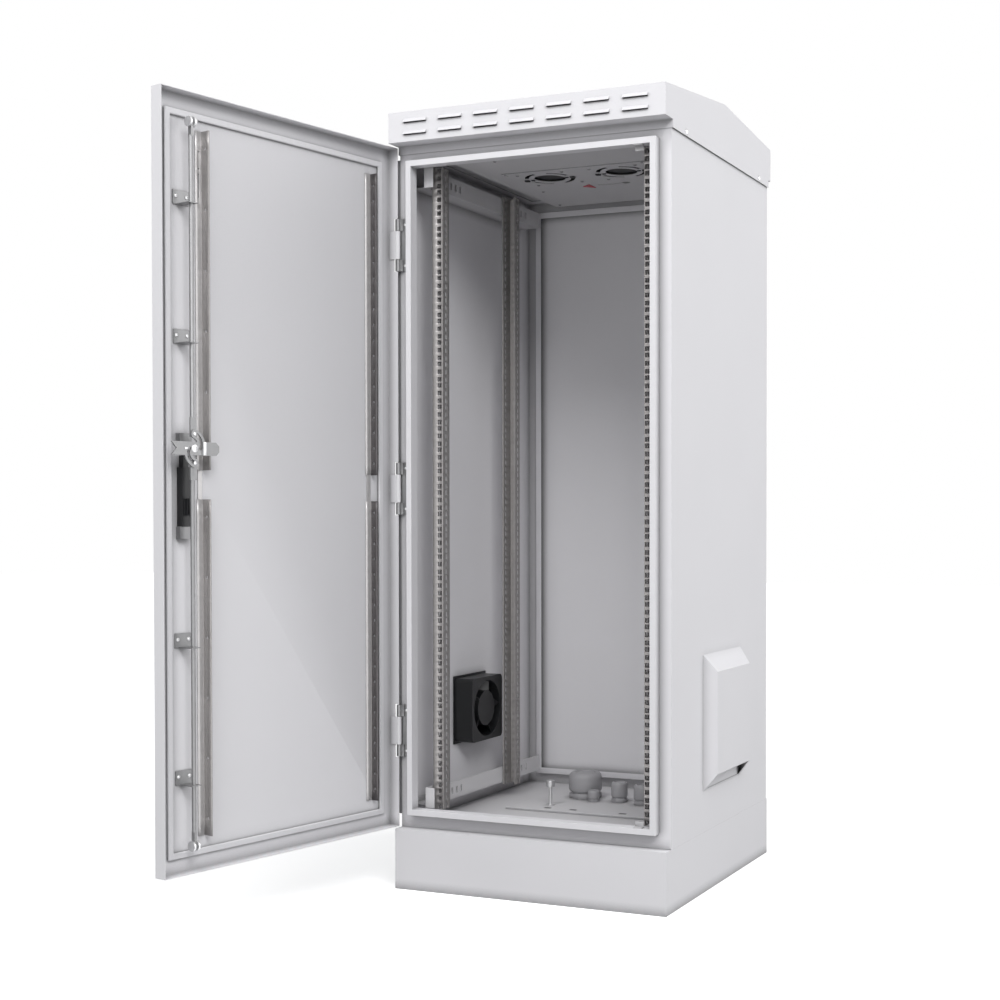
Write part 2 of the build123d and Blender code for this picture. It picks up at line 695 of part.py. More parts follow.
def fan_plate():
    half = FAN_PLATE_WIDTH / 2
    back = FAN_PLATE_FRONT + FAN_PLATE_DEPTH
    low = CEILING_Z - BODY_SHEET
    plate = block((-half, half), (FAN_PLATE_FRONT, back), (low, CEILING_Z))
    cutters = []
    for x in (-ROOF_FAN_OFFSET, ROOF_FAN_OFFSET):
        cutters += finger_guard(x, ROOF_FAN_Y, low - BODY_SHEET, CEILING_Z + BODY_SHEET)
    slit = block(
        (CABLE_SLIT_LEFT, CABLE_SLIT_LEFT + CABLE_SLIT_LENGTH),
        (CABLE_SLIT_Y - CABLE_SLIT_WIDTH / 2, CABLE_SLIT_Y + CABLE_SLIT_WIDTH / 2),
        (low - BODY_SHEET, CEILING_Z + BODY_SHEET),
    )
    return cut(plate, [*cutters, slit])


def fan_housing(size, depth, bore, hub):
    """Square fan frame from its seat at Z = 0, with struts and a bearing at the far side."""
    half = size / 2
    frame = block((-half, half), (-half, half), (0, depth))
    frame = cut(frame, [bar((0, 0, -1), (0, 0, depth + 1), bore / 2, FAN_BORE_SIDES)])
    base_low = depth - FAN_BASE_THICKNESS
    strut = block(
        (-half + FAN_WALL, half - FAN_WALL), (-FAN_STRUT_WIDTH / 2, FAN_STRUT_WIDTH / 2), (base_low, depth)
    )
    hub_base = bar((0, 0, base_low), (0, 0, depth), hub / 2, FAN_HUB_SIDES)
    bearing = rod((0, 0, base_low - 1), (0, 0, depth + 1), FAN_AXLE_RADIUS + RUNNING_GAP)
    return cut(union([frame, hub_base, Rot(0, 0, 45) * strut, Rot(0, 0, -45) * strut]), [bearing])


def fan_rotor(depth, bore, hub):
    """Hub with pitched blades and the axle that turns in the housing's bearing."""
    low, high = FAN_WALL, depth - FAN_BASE_THICKNESS - FAN_TIP_GAP
    pitch = math.radians(FAN_BLADE_PITCH)
    half_chord = (high - low - FAN_BLADE_THICKNESS) / math.cos(pitch) / 2
    half_sheet = FAN_BLADE_THICKNESS / 2
    sway = half_chord * math.sin(pitch) + half_sheet * math.cos(pitch)
    tip = math.sqrt((bore / 2 - FAN_TIP_GAP) ** 2 - sway ** 2)
    blade = block((hub / 3, tip), (-half_sheet, half_sheet), (-half_chord, half_chord))
    blade = Pos(0, 0, (low + high) / 2) * Rot(FAN_BLADE_PITCH, 0, 0) * blade
    blades = [Rot(0, 0, 360 / FAN_BLADES * index) * blade for index in range(FAN_BLADES)]
    barrel = bar((0, 0, low), (0, 0, high), hub / 2, FAN_HUB_SIDES)
    axle = bar((0, 0, low), (0, 0, depth), FAN_AXLE_RADIUS, SMALL_ROUND_SIDES)
    return union([barrel, axle, *blades])


def roof_fan_place(side):
    return Pos(side * ROOF_FAN_OFFSET, ROOF_FAN_Y, CEILING_Z)


def side_fan_place():
    """The side fan's seat is its plate on the left wall, and it faces into the cabinet."""
    seat = -INNER_HALF + SIDE_FAN_PLATE_SHEET
    return Pos(seat + SIDE_FAN_DEPTH, SIDE_FAN_Y, SIDE_FAN_Z) * Rot(0, -90, 0)


def side_fan_plate():
    half = SIDE_FAN_PLATE / 2
    seat = -INNER_HALF
    plate = block(
        (seat, seat + SIDE_FAN_PLATE_SHEET),
        (SIDE_FAN_Y - half, SIDE_FAN_Y + half),
        (SIDE_FAN_Z - half, SIDE_FAN_Z + half),
    )
    middle = (SIDE_FAN_Y, SIDE_FAN_Z)
    far = seat + 2 * SIDE_FAN_PLATE_SHEET
    bore = bar((seat - 1, *middle), (far, *middle), SIDE_FAN_BORE / 2, FAN_BORE_SIDES)
    return cut(plate, [bore])


def marker_arrow():
    """Arrow pointing to the left, stuck under the fan plate."""
    half, neck = MARKER_WIDTH / 2, MARKER_WIDTH / 5
    shoulder = MARKER_LENGTH / 2
    points = [
        (0, 0), (shoulder, -half), (shoulder, -neck), (MARKER_LENGTH, -neck),
        (MARKER_LENGTH, neck), (shoulder, neck), (shoulder, half),
    ]
    face = make_face(Polyline(*points, close=True))
    place = Pos(MARKER_TIP_X, MARKER_Y, CEILING_Z - BODY_SHEET - MARKER_SHEET)
    return extrude(place * face, amount=MARKER_SHEET, dir=(0, 0, 1))


# Side hoods and filter

def hood_middle():
    return (HOOD_BASE_FRONT + HOOD_BASE_BACK) / 2, (HOOD_BASE_BOTTOM + HOOD_BASE_TOP) / 2


def hood_volume(inset):
    """Bevelled block on the right wall, smaller by the inset."""
    wall, face = HALF_WIDTH, HALF_WIDTH + HOOD_REACH - inset
    front, back = HOOD_BASE_FRONT + inset, HOOD_BASE_BACK - inset
    low, high = HOOD_BASE_BOTTOM + inset, HOOD_BASE_TOP - inset
    side, end = HOOD_BEVEL_SIDE - inset / 2, HOOD_BEVEL_END - inset / 2
    plan = Polyline((wall, front), (face, front + side), (face, back - side), (wall, back), close=True)
    section = Polyline((wall, low), (face, low + end), (face, high - end), (wall, high), close=True)
    upright = extrude(Pos(0, 0, low) * make_face(plan), amount=high - low, dir=(0, 0, 1))
    level_face = Plane.XZ * make_face(section)
    level = extrude(Pos(0, front, 0) * level_face, amount=back - front, dir=(0, 1, 0))
    return upright & level


def side_hood():
    """Bevelled cowl with its lower bevel left open for the air."""
    half = (HOOD_BASE_BACK - HOOD_BASE_FRONT) / 2 - HOOD_BEVEL_SIDE - HOOD_SHEET
    middle_y = hood_middle()[0]
    mouth = block(
        (HALF_WIDTH + HOOD_SHEET, HALF_WIDTH + HOOD_REACH - HOOD_SHEET),
        (middle_y - half, middle_y + half),
        (HOOD_BASE_BOTTOM - HOOD_SHEET, HOOD_BASE_BOTTOM + HOOD_BEVEL_END + HOOD_SHEET),
    )
    return cut(hood_volume(0), [hood_volume(HOOD_SHEET), mouth])


def right_filter_frame():
    """Grille frame that holds the filter behind the right hood's opening."""
    half = FILTER_OPENING / 2 + FILTER_BORDER
    opening = FILTER_OPENING / 2
    middle_y, middle_z = hood_middle()
    span_x = (INNER_HALF - FILTER_DEPTH, INNER_HALF)
    frame = block(span_x, (middle_y - half, middle_y + half), (middle_z - half, middle_z + half))
    hole = block(
        (INNER_HALF - 2 * FILTER_DEPTH, INNER_HALF + FILTER_DEPTH),
        (middle_y - opening, middle_y + opening),
        (middle_z - opening, middle_z + opening),
    )
    bars = []
    for index in range(FILTER_BARS):
        y = middle_y - opening + FILTER_OPENING * (index + 1) / (FILTER_BARS + 1)
        bars.append(
            block(
                span_x,
                (y - FILTER_BAR_WIDTH / 2, y + FILTER_BAR_WIDTH / 2),
                (middle_z - opening - 1, middle_z + opening + 1),
            )
        )
    return union([cut(frame, [hole]), *bars])


# Floor and cable entries

def floor_panel():
    half = INNER_HALF - FLOOR_GAP
    back = BODY_DEPTH - BODY_SHEET - REAR_REBATE_DEPTH - BODY_SHEET - FLOOR_GAP
    plate = block((-half, half), (BODY_SHEET + FLOOR_GAP, back), (FLOOR_Z, FLOOR_TOP))
    hole = block(
        (-FLOOR_HOLE_HALF_WIDTH, FLOOR_HOLE_HALF_WIDTH),
        (FLOOR_HOLE_FRONT, FLOOR_HOLE_BACK),
        (FLOOR_Z - FLOOR_SHEET, FLOOR_TOP + FLOOR_SHEET),
    )
    return cut(plate, [hole])


def gland_plate():
    half = FLOOR_HOLE_HALF_WIDTH + GLAND_PLATE_BORDER
    plate = block(
        (-half, half),
        (FLOOR_HOLE_FRONT - GLAND_PLATE_BORDER, FLOOR_HOLE_BACK + GLAND_PLATE_BORDER),
        (FLOOR_TOP, GLAND_PLATE_TOP),
    )
    low, high = FLOOR_Z - FLOOR_SHEET, GLAND_PLATE_TOP + FLOOR_SHEET
    bores = [(*EARTH_STUD, EARTH_STUD_RADIUS)]
    for x, y, width, _ in (LARGE_GLAND, SMALL_GLAND, *MEDIUM_GLANDS):
        bores.append((x, y, width * GLAND_THREAD_SHARE))
    holes = [bar((x, y, low), (x, y, high), radius + GLAND_GAP, GLAND_SIDES) for x, y, radius in bores]
    for x in GLAND_SLOT_XS:
        holes.append(
            block(
                (x - GLAND_SLOT_LENGTH / 2, x + GLAND_SLOT_LENGTH / 2),
                (GLAND_SLOT_Y - GLAND_SLOT_WIDTH / 2, GLAND_SLOT_Y + GLAND_SLOT_WIDTH / 2),
                (low, high),
            )
        )
    return cut(plate, holes)


def gland_piece(x, y, low, high, radius, sides):
    return bar((x, y, low), (x, y, high), radius, sides)


def cable_gland(x, y, width, height):
    """Gland with a chamfered cap, its thread and the lock nut under the plate."""
    top = GLAND_PLATE_TOP
    foot_top, cap_low = top + height * GLAND_FOOT_RISE, top + height * GLAND_CAP_RISE
    crown_low, crown_top = top + height * GLAND_CROWN_RISE, top + height
    section = RegularPolygon(width / 2, GLAND_SIDES)
    chamfer = (0.5 - GLAND_CROWN_SHARE) * width * math.cos(math.pi / GLAND_SIDES)
    slope = math.degrees(math.atan2(chamfer, crown_top - crown_low))
    crown = extrude(Pos(x, y, crown_low) * section, amount=crown_top - crown_low, taper=slope)
    thread_low = FLOOR_Z - FLOOR_SHEET - height * GLAND_THREAD_DROP
    nut_low = FLOOR_TOP - height * GLAND_NUT_DROP
    return union(
        [
            gland_piece(x, y, top, foot_top, width * GLAND_FOOT_SHARE, SCREW_SIDES),
            gland_piece(x, y, top, cap_low, width * GLAND_COLLAR_SHARE, GLAND_SIDES),
            gland_piece(x, y, cap_low, crown_low, width / 2, GLAND_SIDES),
            crown,
            gland_piece(x, y, thread_low, top, width * GLAND_THREAD_SHARE, GLAND_SIDES),
            gland_piece(x, y, nut_low, FLOOR_TOP, width / 2, SCREW_SIDES),
        ]
    )


def earth_stud():
    x, y = EARTH_STUD
    base, top = GLAND_PLATE_TOP, GLAND_PLATE_TOP + EARTH_STUD_HEIGHT
    cap = EARTH_CAP_DIAMETER / 2
    return union(
        [
            gland_piece(x, y, FLOOR_Z - EARTH_CAP_HEIGHT, top, EARTH_STUD_RADIUS, GLAND_SIDES),
            gland_piece(x, y, top - EARTH_CAP_HEIGHT, top, cap, GLAND_SIDES),
            gland_piece(x, y, base, base + EARTH_WASHER, cap, GLAND_SIDES),
        ]
    )


# Rack rails and depth rails

def rack_hole_heights():
    """Heights of the square holes: three in each unit, the outer two a step from the middle."""
    first = (RAIL_BOTTOM + RAIL_TOP - (RACK_UNITS - 1) * RACK_UNIT) / 2
    middles = [first + unit * RACK_UNIT for unit in range(RACK_UNITS)]
    return [middle + step * RACK_HOLE_STEP for middle in middles for step in (-1, 0, 1)]


def rack_rail(face_y, depth_way, hole_heights):
    """Channel on the right: face at face_y and two side flanges running away from it."""
    inner = RAIL_OUTER - RAIL_FLANGE
    middle_x, middle_z = (inner + RAIL_OUTER) / 2, (RAIL_BOTTOM + RAIL_TOP) / 2
    plane = Plane(origin=(middle_x, face_y, middle_z), x_dir=(1, 0, 0), z_dir=(0, -1, 0))
    face = Rectangle(RAIL_FLANGE, RAIL_TOP - RAIL_BOTTOM)
    if hole_heights:
        spots = [(RACK_HOLE_SPACING / 2 - middle_x, height - middle_z) for height in hole_heights]
        face -= Locations(*spots) * Rectangle(RACK_HOLE_SIZE, RACK_HOLE_SIZE)
    web = extrude(plane * face, amount=RAIL_SHEET, dir=(0, depth_way, 0))
    sides = []
    for x, depth in ((inner, RAIL_INNER_DEPTH), (RAIL_OUTER - RAIL_SHEET, RAIL_OUTER_DEPTH)):
        sides.append(
            block((x, x + RAIL_SHEET), (face_y, face_y + depth_way * depth), (RAIL_BOTTOM, RAIL_TOP))
        )
    return union([web, *sides])


def depth_rail(low):
    """Rail on the right that carries the rack rails: slotted web, shelf and short wall flange."""
    sheet = DEPTH_RAIL_SHEET
    high = low + DEPTH_RAIL_HEIGHT
    wall_top = low + DEPTH_RAIL_WALL_FLANGE
    path = [(RAIL_OUTER, high), (RAIL_OUTER, low), (INNER_HALF, low), (INNER_HALF, wall_top)]
    rail = lengthwise_fold(path, sheet, FRONT_RAIL_Y, DEPTH_RAIL_BACK)
    middle = (low + high) / 2
    slots = []
    for y in DEPTH_SLOT_YS:
        slots.append(
            block(
                (RAIL_OUTER - sheet, RAIL_OUTER + 2 * sheet),
                (y - DEPTH_SLOT_WIDTH / 2, y + DEPTH_SLOT_WIDTH / 2),
                (middle - DEPTH_SLOT_HEIGHT / 2, middle + DEPTH_SLOT_HEIGHT / 2),
            )
        )
    return cut(rail, slots)


def tabbed_depth_rail(low, tab_low):
    """Depth rail with an angle on its front end that stands before the rack rail."""
    sheet = DEPTH_RAIL_SHEET
    outer = RAIL_OUTER + sheet
    path = [
        (outer - sheet - DEPTH_RAIL_TAB_WIDTH, DEPTH_RAIL_FRONT),
        (outer, DEPTH_RAIL_FRONT),
        (outer, FRONT_RAIL_Y + sheet),
    ]
    return union([depth_rail(low), upright_fold(path, sheet, tab_low, tab_low + DEPTH_RAIL_TAB_HEIGHT)])


def rail_screws():
    """Heads of the screws that hold the rack rails, on the wall side of the depth rails."""
    screws = []
    seat = RAIL_OUTER + DEPTH_RAIL_SHEET
    half_flange = RAIL_INNER_DEPTH / 2
    for z in (DEPTH_RAIL_LOW + DEPTH_RAIL_HEIGHT / 2, DEPTH_RAIL_HIGH + DEPTH_RAIL_HEIGHT / 2):
        for y in (FRONT_RAIL_Y + half_flange, REAR_RAIL_Y - half_flange):
            head = bar((seat, y, z), (seat + SCREW_HEAD, y, z), SCREW_RADIUS, SCREW_SIDES)
            screws += both_sides(head)
    return group(screws)


# Door

def hinge_span(middle):
    return middle - HINGE_HEIGHT / 2, middle + HINGE_HEIGHT / 2


def door_knuckle(middle):
    """Middle knuckle of a hinge with the leaf that is welded inside the door's folded edge."""
    half = HINGE_HEIGHT / 2 - HINGE_OUTER_KNUCKLE - HINGE_KNUCKLE_GAP
    low, high = middle - half, middle + half
    axis = (HINGE_X, HINGE_Y)
    barrel = bar((*axis, low), (*axis, high), HINGE_BARREL_RADIUS, SMALL_ROUND_SIDES)
    leaf_x = -DOOR_HALF + DOOR_SHEET
    leaf = block(
        (leaf_x, leaf_x + HINGE_PLATE_SHEET), (HINGE_Y - HINGE_LEAF_LENGTH, HINGE_Y), (low, high)
    )
    return union([barrel, leaf])


def door_panel():
    outer = block((-DOOR_HALF, DOOR_HALF), (DOOR_FRONT, DOOR_BACK), (DOOR_LOW, DOOR_HIGH))
    inside = block(
        (-DOOR_HALF + DOOR_SHEET, DOOR_HALF - DOOR_SHEET),
        (DOOR_SKIN, DOOR_BACK + DOOR_SHEET),
        (DOOR_LOW + DOOR_SHEET, DOOR_HIGH - DOOR_SHEET),
    )
    notches = []
    bores = []
    for middle in HINGE_HEIGHTS:
        low, high = hinge_span(middle)
        notches.append(
            block(
                (-DOOR_HALF - DOOR_SHEET, -DOOR_HALF + 2 * DOOR_SHEET),
                (HINGE_Y - HINGE_BARREL_RADIUS - HINGE_NOTCH_GAP, DOOR_BACK + DOOR_SHEET),
                (low - HINGE_NOTCH_GAP, high + HINGE_NOTCH_GAP),
            )
        )
        bores.append(
            rod((HINGE_X, HINGE_Y, low), (HINGE_X, HINGE_Y, high), HINGE_PIN_RADIUS + RUNNING_GAP)
        )
    spindle_hole = rod(
        (LOCK_X, DOOR_FRONT - 1, LOCK_Z), (LOCK_X, DOOR_SKIN + 1, LOCK_Z), SPINDLE_RADIUS + GUIDE_GAP
    )
    pan = cut(outer, [inside, *notches, spindle_hole])
    return cut(union([pan, *[door_knuckle(middle) for middle in HINGE_HEIGHTS]]), bores)


def door_gasket():
    """Foam ring on the door's inside that meets the gutter frame's front face."""
    half = (GUTTER_OUTER_HALF + GUTTER_INNER_HALF) / 2
    low, high = (GUTTER_LOW + LIP_LOW) / 2, (GUTTER_HIGH + LIP_HIGH) / 2
    reach = GASKET_WIDTH / 2
    back = -GUTTER_DEPTH - GASKET_PRELOAD
    outer = block((-half - reach, half + reach), (DOOR_SKIN, back), (low - reach, high + reach))
    inner = block(
        (-half + reach, half - reach), (DOOR_SKIN - 1, back + 1), (low + reach, high - reach)
    )
    return cut(outer, [inner])


def hinge_bracket(middle):
    """Two outer knuckles with the pin between them, on a plate that is fixed to the body's front."""
    low, high = hinge_span(middle)
    axis = (HINGE_X, HINGE_Y)
    plate_x = HINGE_X + HINGE_BARREL_RADIUS
    plate = block((plate_x, plate_x + HINGE_PLATE_REACH), (-HINGE_PLATE_SHEET, 0), (low, high))
    pin = bar((*axis, low), (*axis, high), HINGE_PIN_RADIUS, SMALL_ROUND_SIDES)
    pieces = [plate, pin]
    for start, end in ((low, low + HINGE_OUTER_KNUCKLE), (high - HINGE_OUTER_KNUCKLE, high)):
        pieces.append(bar((*axis, start), (*axis, end), HINGE_BARREL_RADIUS, SMALL_ROUND_SIDES))
        pieces.append(block((HINGE_X, plate_x + HINGE_BARREL_RADIUS), (HINGE_Y, 0), (start, end)))
    return union(pieces)


def stiffener(foot_x, flange, depth, low, high):
    """Angle on the door's inside: foot on the skin and upright."""
    sheet = STIFFENER_SHEET
    foot = block((foot_x, foot_x + flange), (DOOR_SKIN, DOOR_SKIN + sheet), (low, high))
    upright = block((foot_x, foot_x + sheet), (DOOR_SKIN, DOOR_SKIN + depth), (low, high))
    return union([foot, upright])


def stiffener_feet():
    """Left edge, flange width and depth of the two lines of stiffeners."""
    return {
        "free": (DOOR_HALF - STIFFENER_FREE_INSET, STIFFENER_FREE_FLANGE, STIFFENER_FREE_DEPTH),
        "hinge": (-DOOR_HALF + STIFFENER_HINGE_INSET, STIFFENER_HINGE_FLANGE, STIFFENER_HINGE_DEPTH),
    }


def stiffener_joiners():
    """Flat straps that join the upper and lower stiffeners across the break at mid height."""
    straps = []
    for foot_x, flange, _ in stiffener_feet().values():
        middle = foot_x + flange / 2
        straps.append(
            block(
                (middle - JOINER_WIDTH / 2, middle + JOINER_WIDTH / 2),
                (DOOR_SKIN, DOOR_SKIN + STIFFENER_SHEET),
                (STIFFENER_SPANS["lower"][1], STIFFENER_SPANS["upper"][0]),
            )
        )
    return group(straps)


# Lock

def rod_guide(middle):
    """Plate on the door with a tab that the rod slides through."""
    half = GUIDE_WIDTH / 2
    low = middle - GUIDE_HEIGHT / 2
    plate = block(
        (LOCK_X - half, LOCK_X + half), (DOOR_SKIN, DOOR_SKIN + GUIDE_SHEET), (low, low + GUIDE_HEIGHT)
    )
    tab = block(
        (LOCK_X - GUIDE_TAB_WIDTH / 2, LOCK_X + GUIDE_TAB_WIDTH / 2),
        (DOOR_SKIN, ROD_Y + GUIDE_END),
        (low, low + GUIDE_SHEET),
    )
    bore = bar(
        (LOCK_X, ROD_Y, low - 1),
        (LOCK_X, ROD_Y, low + GUIDE_SHEET + 1),
        ROD_RADIUS + GUIDE_GAP,
        SMALL_ROUND_SIDES,
        round_inside=True,
    )
    return cut(union([plate, tab]), [bore])


def guide_screws():
    screws = []
    face = DOOR_SKIN + GUIDE_SHEET
    for z in GUIDE_HEIGHTS:
        for x in (LOCK_X - GUIDE_SCREW_SPACING / 2, LOCK_X + GUIDE_SCREW_SPACING / 2):
            head_z = z + GUIDE_SHEET
            far = face + GUIDE_SCREW_HEAD
            screws.append(bar((x, face, head_z), (x, far, head_z), GUIDE_SCREW_RADIUS, SCREW_SIDES))
    return group(screws)


def lock_body():
    half = LOCK_BODY_WIDTH / 2
    back = DOOR_SKIN + LOCK_BODY_DEPTH
    low, high = LOCK_Z - LOCK_BODY_LOW, LOCK_Z - LOCK_BODY_HIGH
    case = block((LOCK_X - half, LOCK_X + half), (DOOR_SKIN, back), (low, high))
    bump_low = LOCK_Z - LOCK_BUMP_LOW
    bump = block(
        (LOCK_X - half / 2, LOCK_X + half / 2),
        (DOOR_SKIN, back + LOCK_BUMP_REACH),
        (bump_low, bump_low + LOCK_BUMP_HEIGHT),
    )
    neck = block(
        (LOCK_X - LOCK_NECK_WIDTH / 2, LOCK_X + LOCK_NECK_WIDTH / 2),
        (DOOR_SKIN, back - HINGE_PLATE_SHEET),
        (high, high + LOCK_NECK_HEIGHT),
    )
    return union([case, bump, neck])


def lock_clamps():
    """Two bridge pieces that hold the escutcheon from inside, above the spindle and below the lock."""
    upper_low = LOCK_Z + UPPER_CLAMP_LOW
    lower_high = LOCK_Z - LOCK_BODY_LOW
    spans = [
        (upper_low, upper_low + UPPER_CLAMP_HEIGHT),
        (lower_high - LOWER_CLAMP_HEIGHT, lower_high),
    ]
    span_x = (LOCK_X - CLAMP_WIDTH / 2, LOCK_X + CLAMP_WIDTH / 2)
    return group([block(span_x, (DOOR_SKIN, DOOR_SKIN + CLAMP_DEPTH), span) for span in spans])


def lock_escutcheon():
    low = LOCK_Z - LOCK_BODY_LOW - LOWER_CLAMP_HEIGHT
    high = LOCK_Z + UPPER_CLAMP_LOW + UPPER_CLAMP_HEIGHT
    plate = block(
        (LOCK_X - ESCUTCHEON_WIDTH / 2, LOCK_X + ESCUTCHEON_WIDTH / 2),
        (DOOR_FRONT - ESCUTCHEON_SHEET, DOOR_FRONT),
        (low, high),
    )
    hole = rod(
        (LOCK_X, DOOR_FRONT - 2 * ESCUTCHEON_SHEET, LOCK_Z),
        (LOCK_X, DOOR_FRONT + 1, LOCK_Z),
        SPINDLE_RADIUS + RUNNING_GAP,
    )
    return cut(plate, [hole])


def lock_spindle():
    """Shaft with a head for the lever outside and a squared end for the cam inside."""
    outer_end = DOOR_FRONT - ESCUTCHEON_SHEET - LEVER_PROUD
    shaft = bar(
        (LOCK_X, outer_end, LOCK_Z), (LOCK_X, CAM_PLANE, LOCK_Z), SPINDLE_RADIUS, ROUND_BAR_SIDES
    )
    half = SPINDLE_SQUARE / 2
    square = block(
        (LOCK_X - half, LOCK_X + half),
        (CAM_PLANE - 1, CAM_PLANE + CAM_SHEET),
        (LOCK_Z - half, LOCK_Z + half),
    )
    head_half = LEVER_HEAD_SIZE / 2
    head = block(
        (LOCK_X - head_half, LOCK_X + head_half),
        (LEVER_Y - LEVER_THICKNESS / 2, outer_end),
        (LOCK_Z - head_half, LOCK_Z + head_half),
    )
    return cut(union([shaft, square, head]), [lever_pin()])


def cam_slot_point(turn, start):
    """Point of a spiral slot's middle line: it nears the spindle by the stroke over the cam's turn."""
    radius = CAM_SLOT_FAR - ROD_STROKE * turn / CAM_TURN
    angle = math.radians(start + turn)
    return radius * math.cos(angle), radius * math.sin(angle)


def cam_band(start, half_width):
    """Flat band of even width along a spiral slot, with blunt round ends."""
    turns = [CAM_TURN * step / CAM_SLOT_STEPS for step in range(CAM_SLOT_STEPS + 1)]
    points = [cam_slot_point(turn, start) for turn in turns]
    halves = [folded_sheet(points, half_width), folded_sheet(points[::-1], half_width)]
    end = RegularPolygon(half_width, SMALL_ROUND_SIDES)
    return halves[0] + halves[1] + Pos(*points[0]) * end + Pos(*points[-1]) * end


def lock_cam():
    """Plate cam: notched tongue and back arm across, spiral band and slot for each rod's pin."""
    half, corner = CAM_ARM_HEIGHT / 2, CAM_BACK_ARM - CAM_END_CHAMFER
    arms = [
        (CAM_TONGUE, half), (CAM_TONGUE - CAM_NOTCH, 0), (CAM_TONGUE, -half), (-corner, -half),
        (-CAM_BACK_ARM, CAM_END_CHAMFER - half), (-CAM_BACK_ARM, half - CAM_END_CHAMFER), (-corner, half),
    ]
    outline = make_face(Polyline(*arms, close=True))
    for start in CAM_SLOT_STARTS:
        outline += cam_band(start, CAM_SLOT_MARGIN)
    for start in CAM_SLOT_STARTS:
        outline -= cam_band(start, CAM_PIN_RADIUS + CAM_PIN_GAP)
    outline -= Rectangle(SPINDLE_SQUARE, SPINDLE_SQUARE)
    plane = Plane(origin=(LOCK_X, CAM_PLANE, LOCK_Z), x_dir=(1, 0, 0), z_dir=(0, -1, 0))
    return extrude(plane * outline, amount=CAM_SHEET, dir=(0, 1, 0))


def lock_rod(way):
    """Rod above the cam for way 1 and below it for way -1."""
    pin_z = LOCK_Z + way * CAM_SLOT_FAR
    roller_z = ROLLER_HIGH_Z if way > 0 else ROLLER_LOW_Z
    tab_far = pin_z + way * ROD_TAB_LENGTH
    tab = block(
        (LOCK_X - ROD_TAB_WIDTH / 2, LOCK_X + ROD_TAB_WIDTH / 2),
        (ROD_TAB_BACK - ROD_TAB_SHEET, ROD_TAB_BACK),
        (pin_z - way * ROD_TAB_END, tab_far),
    )
    pin = bar(
        (LOCK_X, ROD_TAB_BACK - 1, pin_z),
        (LOCK_X, CAM_PLANE + CAM_SHEET, pin_z),
        CAM_PIN_RADIUS,
        SMALL_ROUND_SIDES,
    )
    flat_start = roller_z - way * ROD_FLAT_LENGTH
    shaft = bar(
        (LOCK_X, ROD_Y, tab_far - way * ROD_TAB_LENGTH / 2),
        (LOCK_X, ROD_Y, flat_start + way * 2),
        ROD_RADIUS,
        ROUND_BAR_SIDES,
    )
    flat = block(
        (LOCK_X - ROD_FLAT_WIDTH / 2, LOCK_X + ROD_FLAT_WIDTH / 2),
        (ROD_Y - ROD_RADIUS, ROD_Y + ROD_RADIUS),
        (flat_start, roller_z + way * (ROLLER_AXLE_RADIUS + 2)),
    )
    bore = rod(
        (LOCK_X - ROD_FLAT_WIDTH, ROD_Y, roller_z),
        (LOCK_X + ROD_FLAT_WIDTH, ROD_Y, roller_z),
        ROLLER_AXLE_RADIUS + RUNNING_GAP,
    )
    return cut(union([tab, pin, shaft, flat]), [bore])


def rod_roller(roller_z):
    """Twin roller on one axle, a disc on each side of the rod's flattened end."""
    inner = ROD_FLAT_WIDTH / 2 + ROLLER_SIDE_GAP
    outer = inner + ROLLER_DISC
    spans = [(-outer, outer, ROLLER_AXLE_RADIUS, SMALL_ROUND_SIDES)]
    spans += [(-outer, -inner, ROLLER_RADIUS, ROLLER_SIDES), (inner, outer, ROLLER_RADIUS, ROLLER_SIDES)]
    return union(
        [
            bar((LOCK_X + start, ROD_Y, roller_z), (LOCK_X + end, ROD_Y, roller_z), radius, sides)
            for start, end, radius, sides in spans
        ]
    )


def rod_keepers():
    """Angle plates on the gutter frame's inner wall that the rollers run behind."""
    back = ROD_Y - ROLLER_RADIUS - KEEPER_GAP
    span_x = (LOCK_X - KEEPER_WIDTH / 2, LOCK_X + KEEPER_WIDTH / 2)
    keepers = []
    for lip, way in ((LIP_HIGH, -1), (LIP_LOW, 1)):
        leg = block(span_x, (back - KEEPER_SHEET, back), (lip, lip + way * KEEPER_REACH))
        foot = block(span_x, (-GUTTER_DEPTH + 1, back), (lip, lip + way * KEEPER_SHEET))
        keepers.append(union([leg, foot]))
    return group(keepers)


def lock_lever():
    """Lever hanging down over the escutcheon, forked round the spindle's head."""
    inner = LEVER_HEAD_SIZE / 2 + LEVER_GAP
    outer = inner + LEVER_CHEEK
    half = LEVER_THICKNESS / 2
    span_y = (LEVER_Y - half, LEVER_Y + half)
    throat = LOCK_Z - LEVER_THROAT
    pieces = [block((LOCK_X - outer, LOCK_X + outer), span_y, (LOCK_Z - LEVER_LENGTH, throat))]
    for side in (-1, 1):
        near, far = LOCK_X + side * inner, LOCK_X + side * outer
        pieces.append(block((near, far), span_y, (throat - 1, LOCK_Z)))
        pieces.append(bar((near, LEVER_Y, LOCK_Z), (far, LEVER_Y, LOCK_Z), half, ROUND_BAR_SIDES))
    bore = rod(
        (LOCK_X - outer - 1, LEVER_Y, LOCK_Z),
        (LOCK_X + outer + 1, LEVER_Y, LOCK_Z),
        LEVER_PIN_RADIUS + RUNNING_GAP,
    )
    return cut(union(pieces), [bore])


def lever_pin():
    outer = LEVER_HEAD_SIZE / 2 + LEVER_GAP + LEVER_CHEEK
    ends = [(LOCK_X + side * outer, LEVER_Y, LOCK_Z) for side in (-1, 1)]
    return bar(*ends, LEVER_PIN_RADIUS, SMALL_ROUND_SIDES)


# Screws that hold the rear panel and the roof

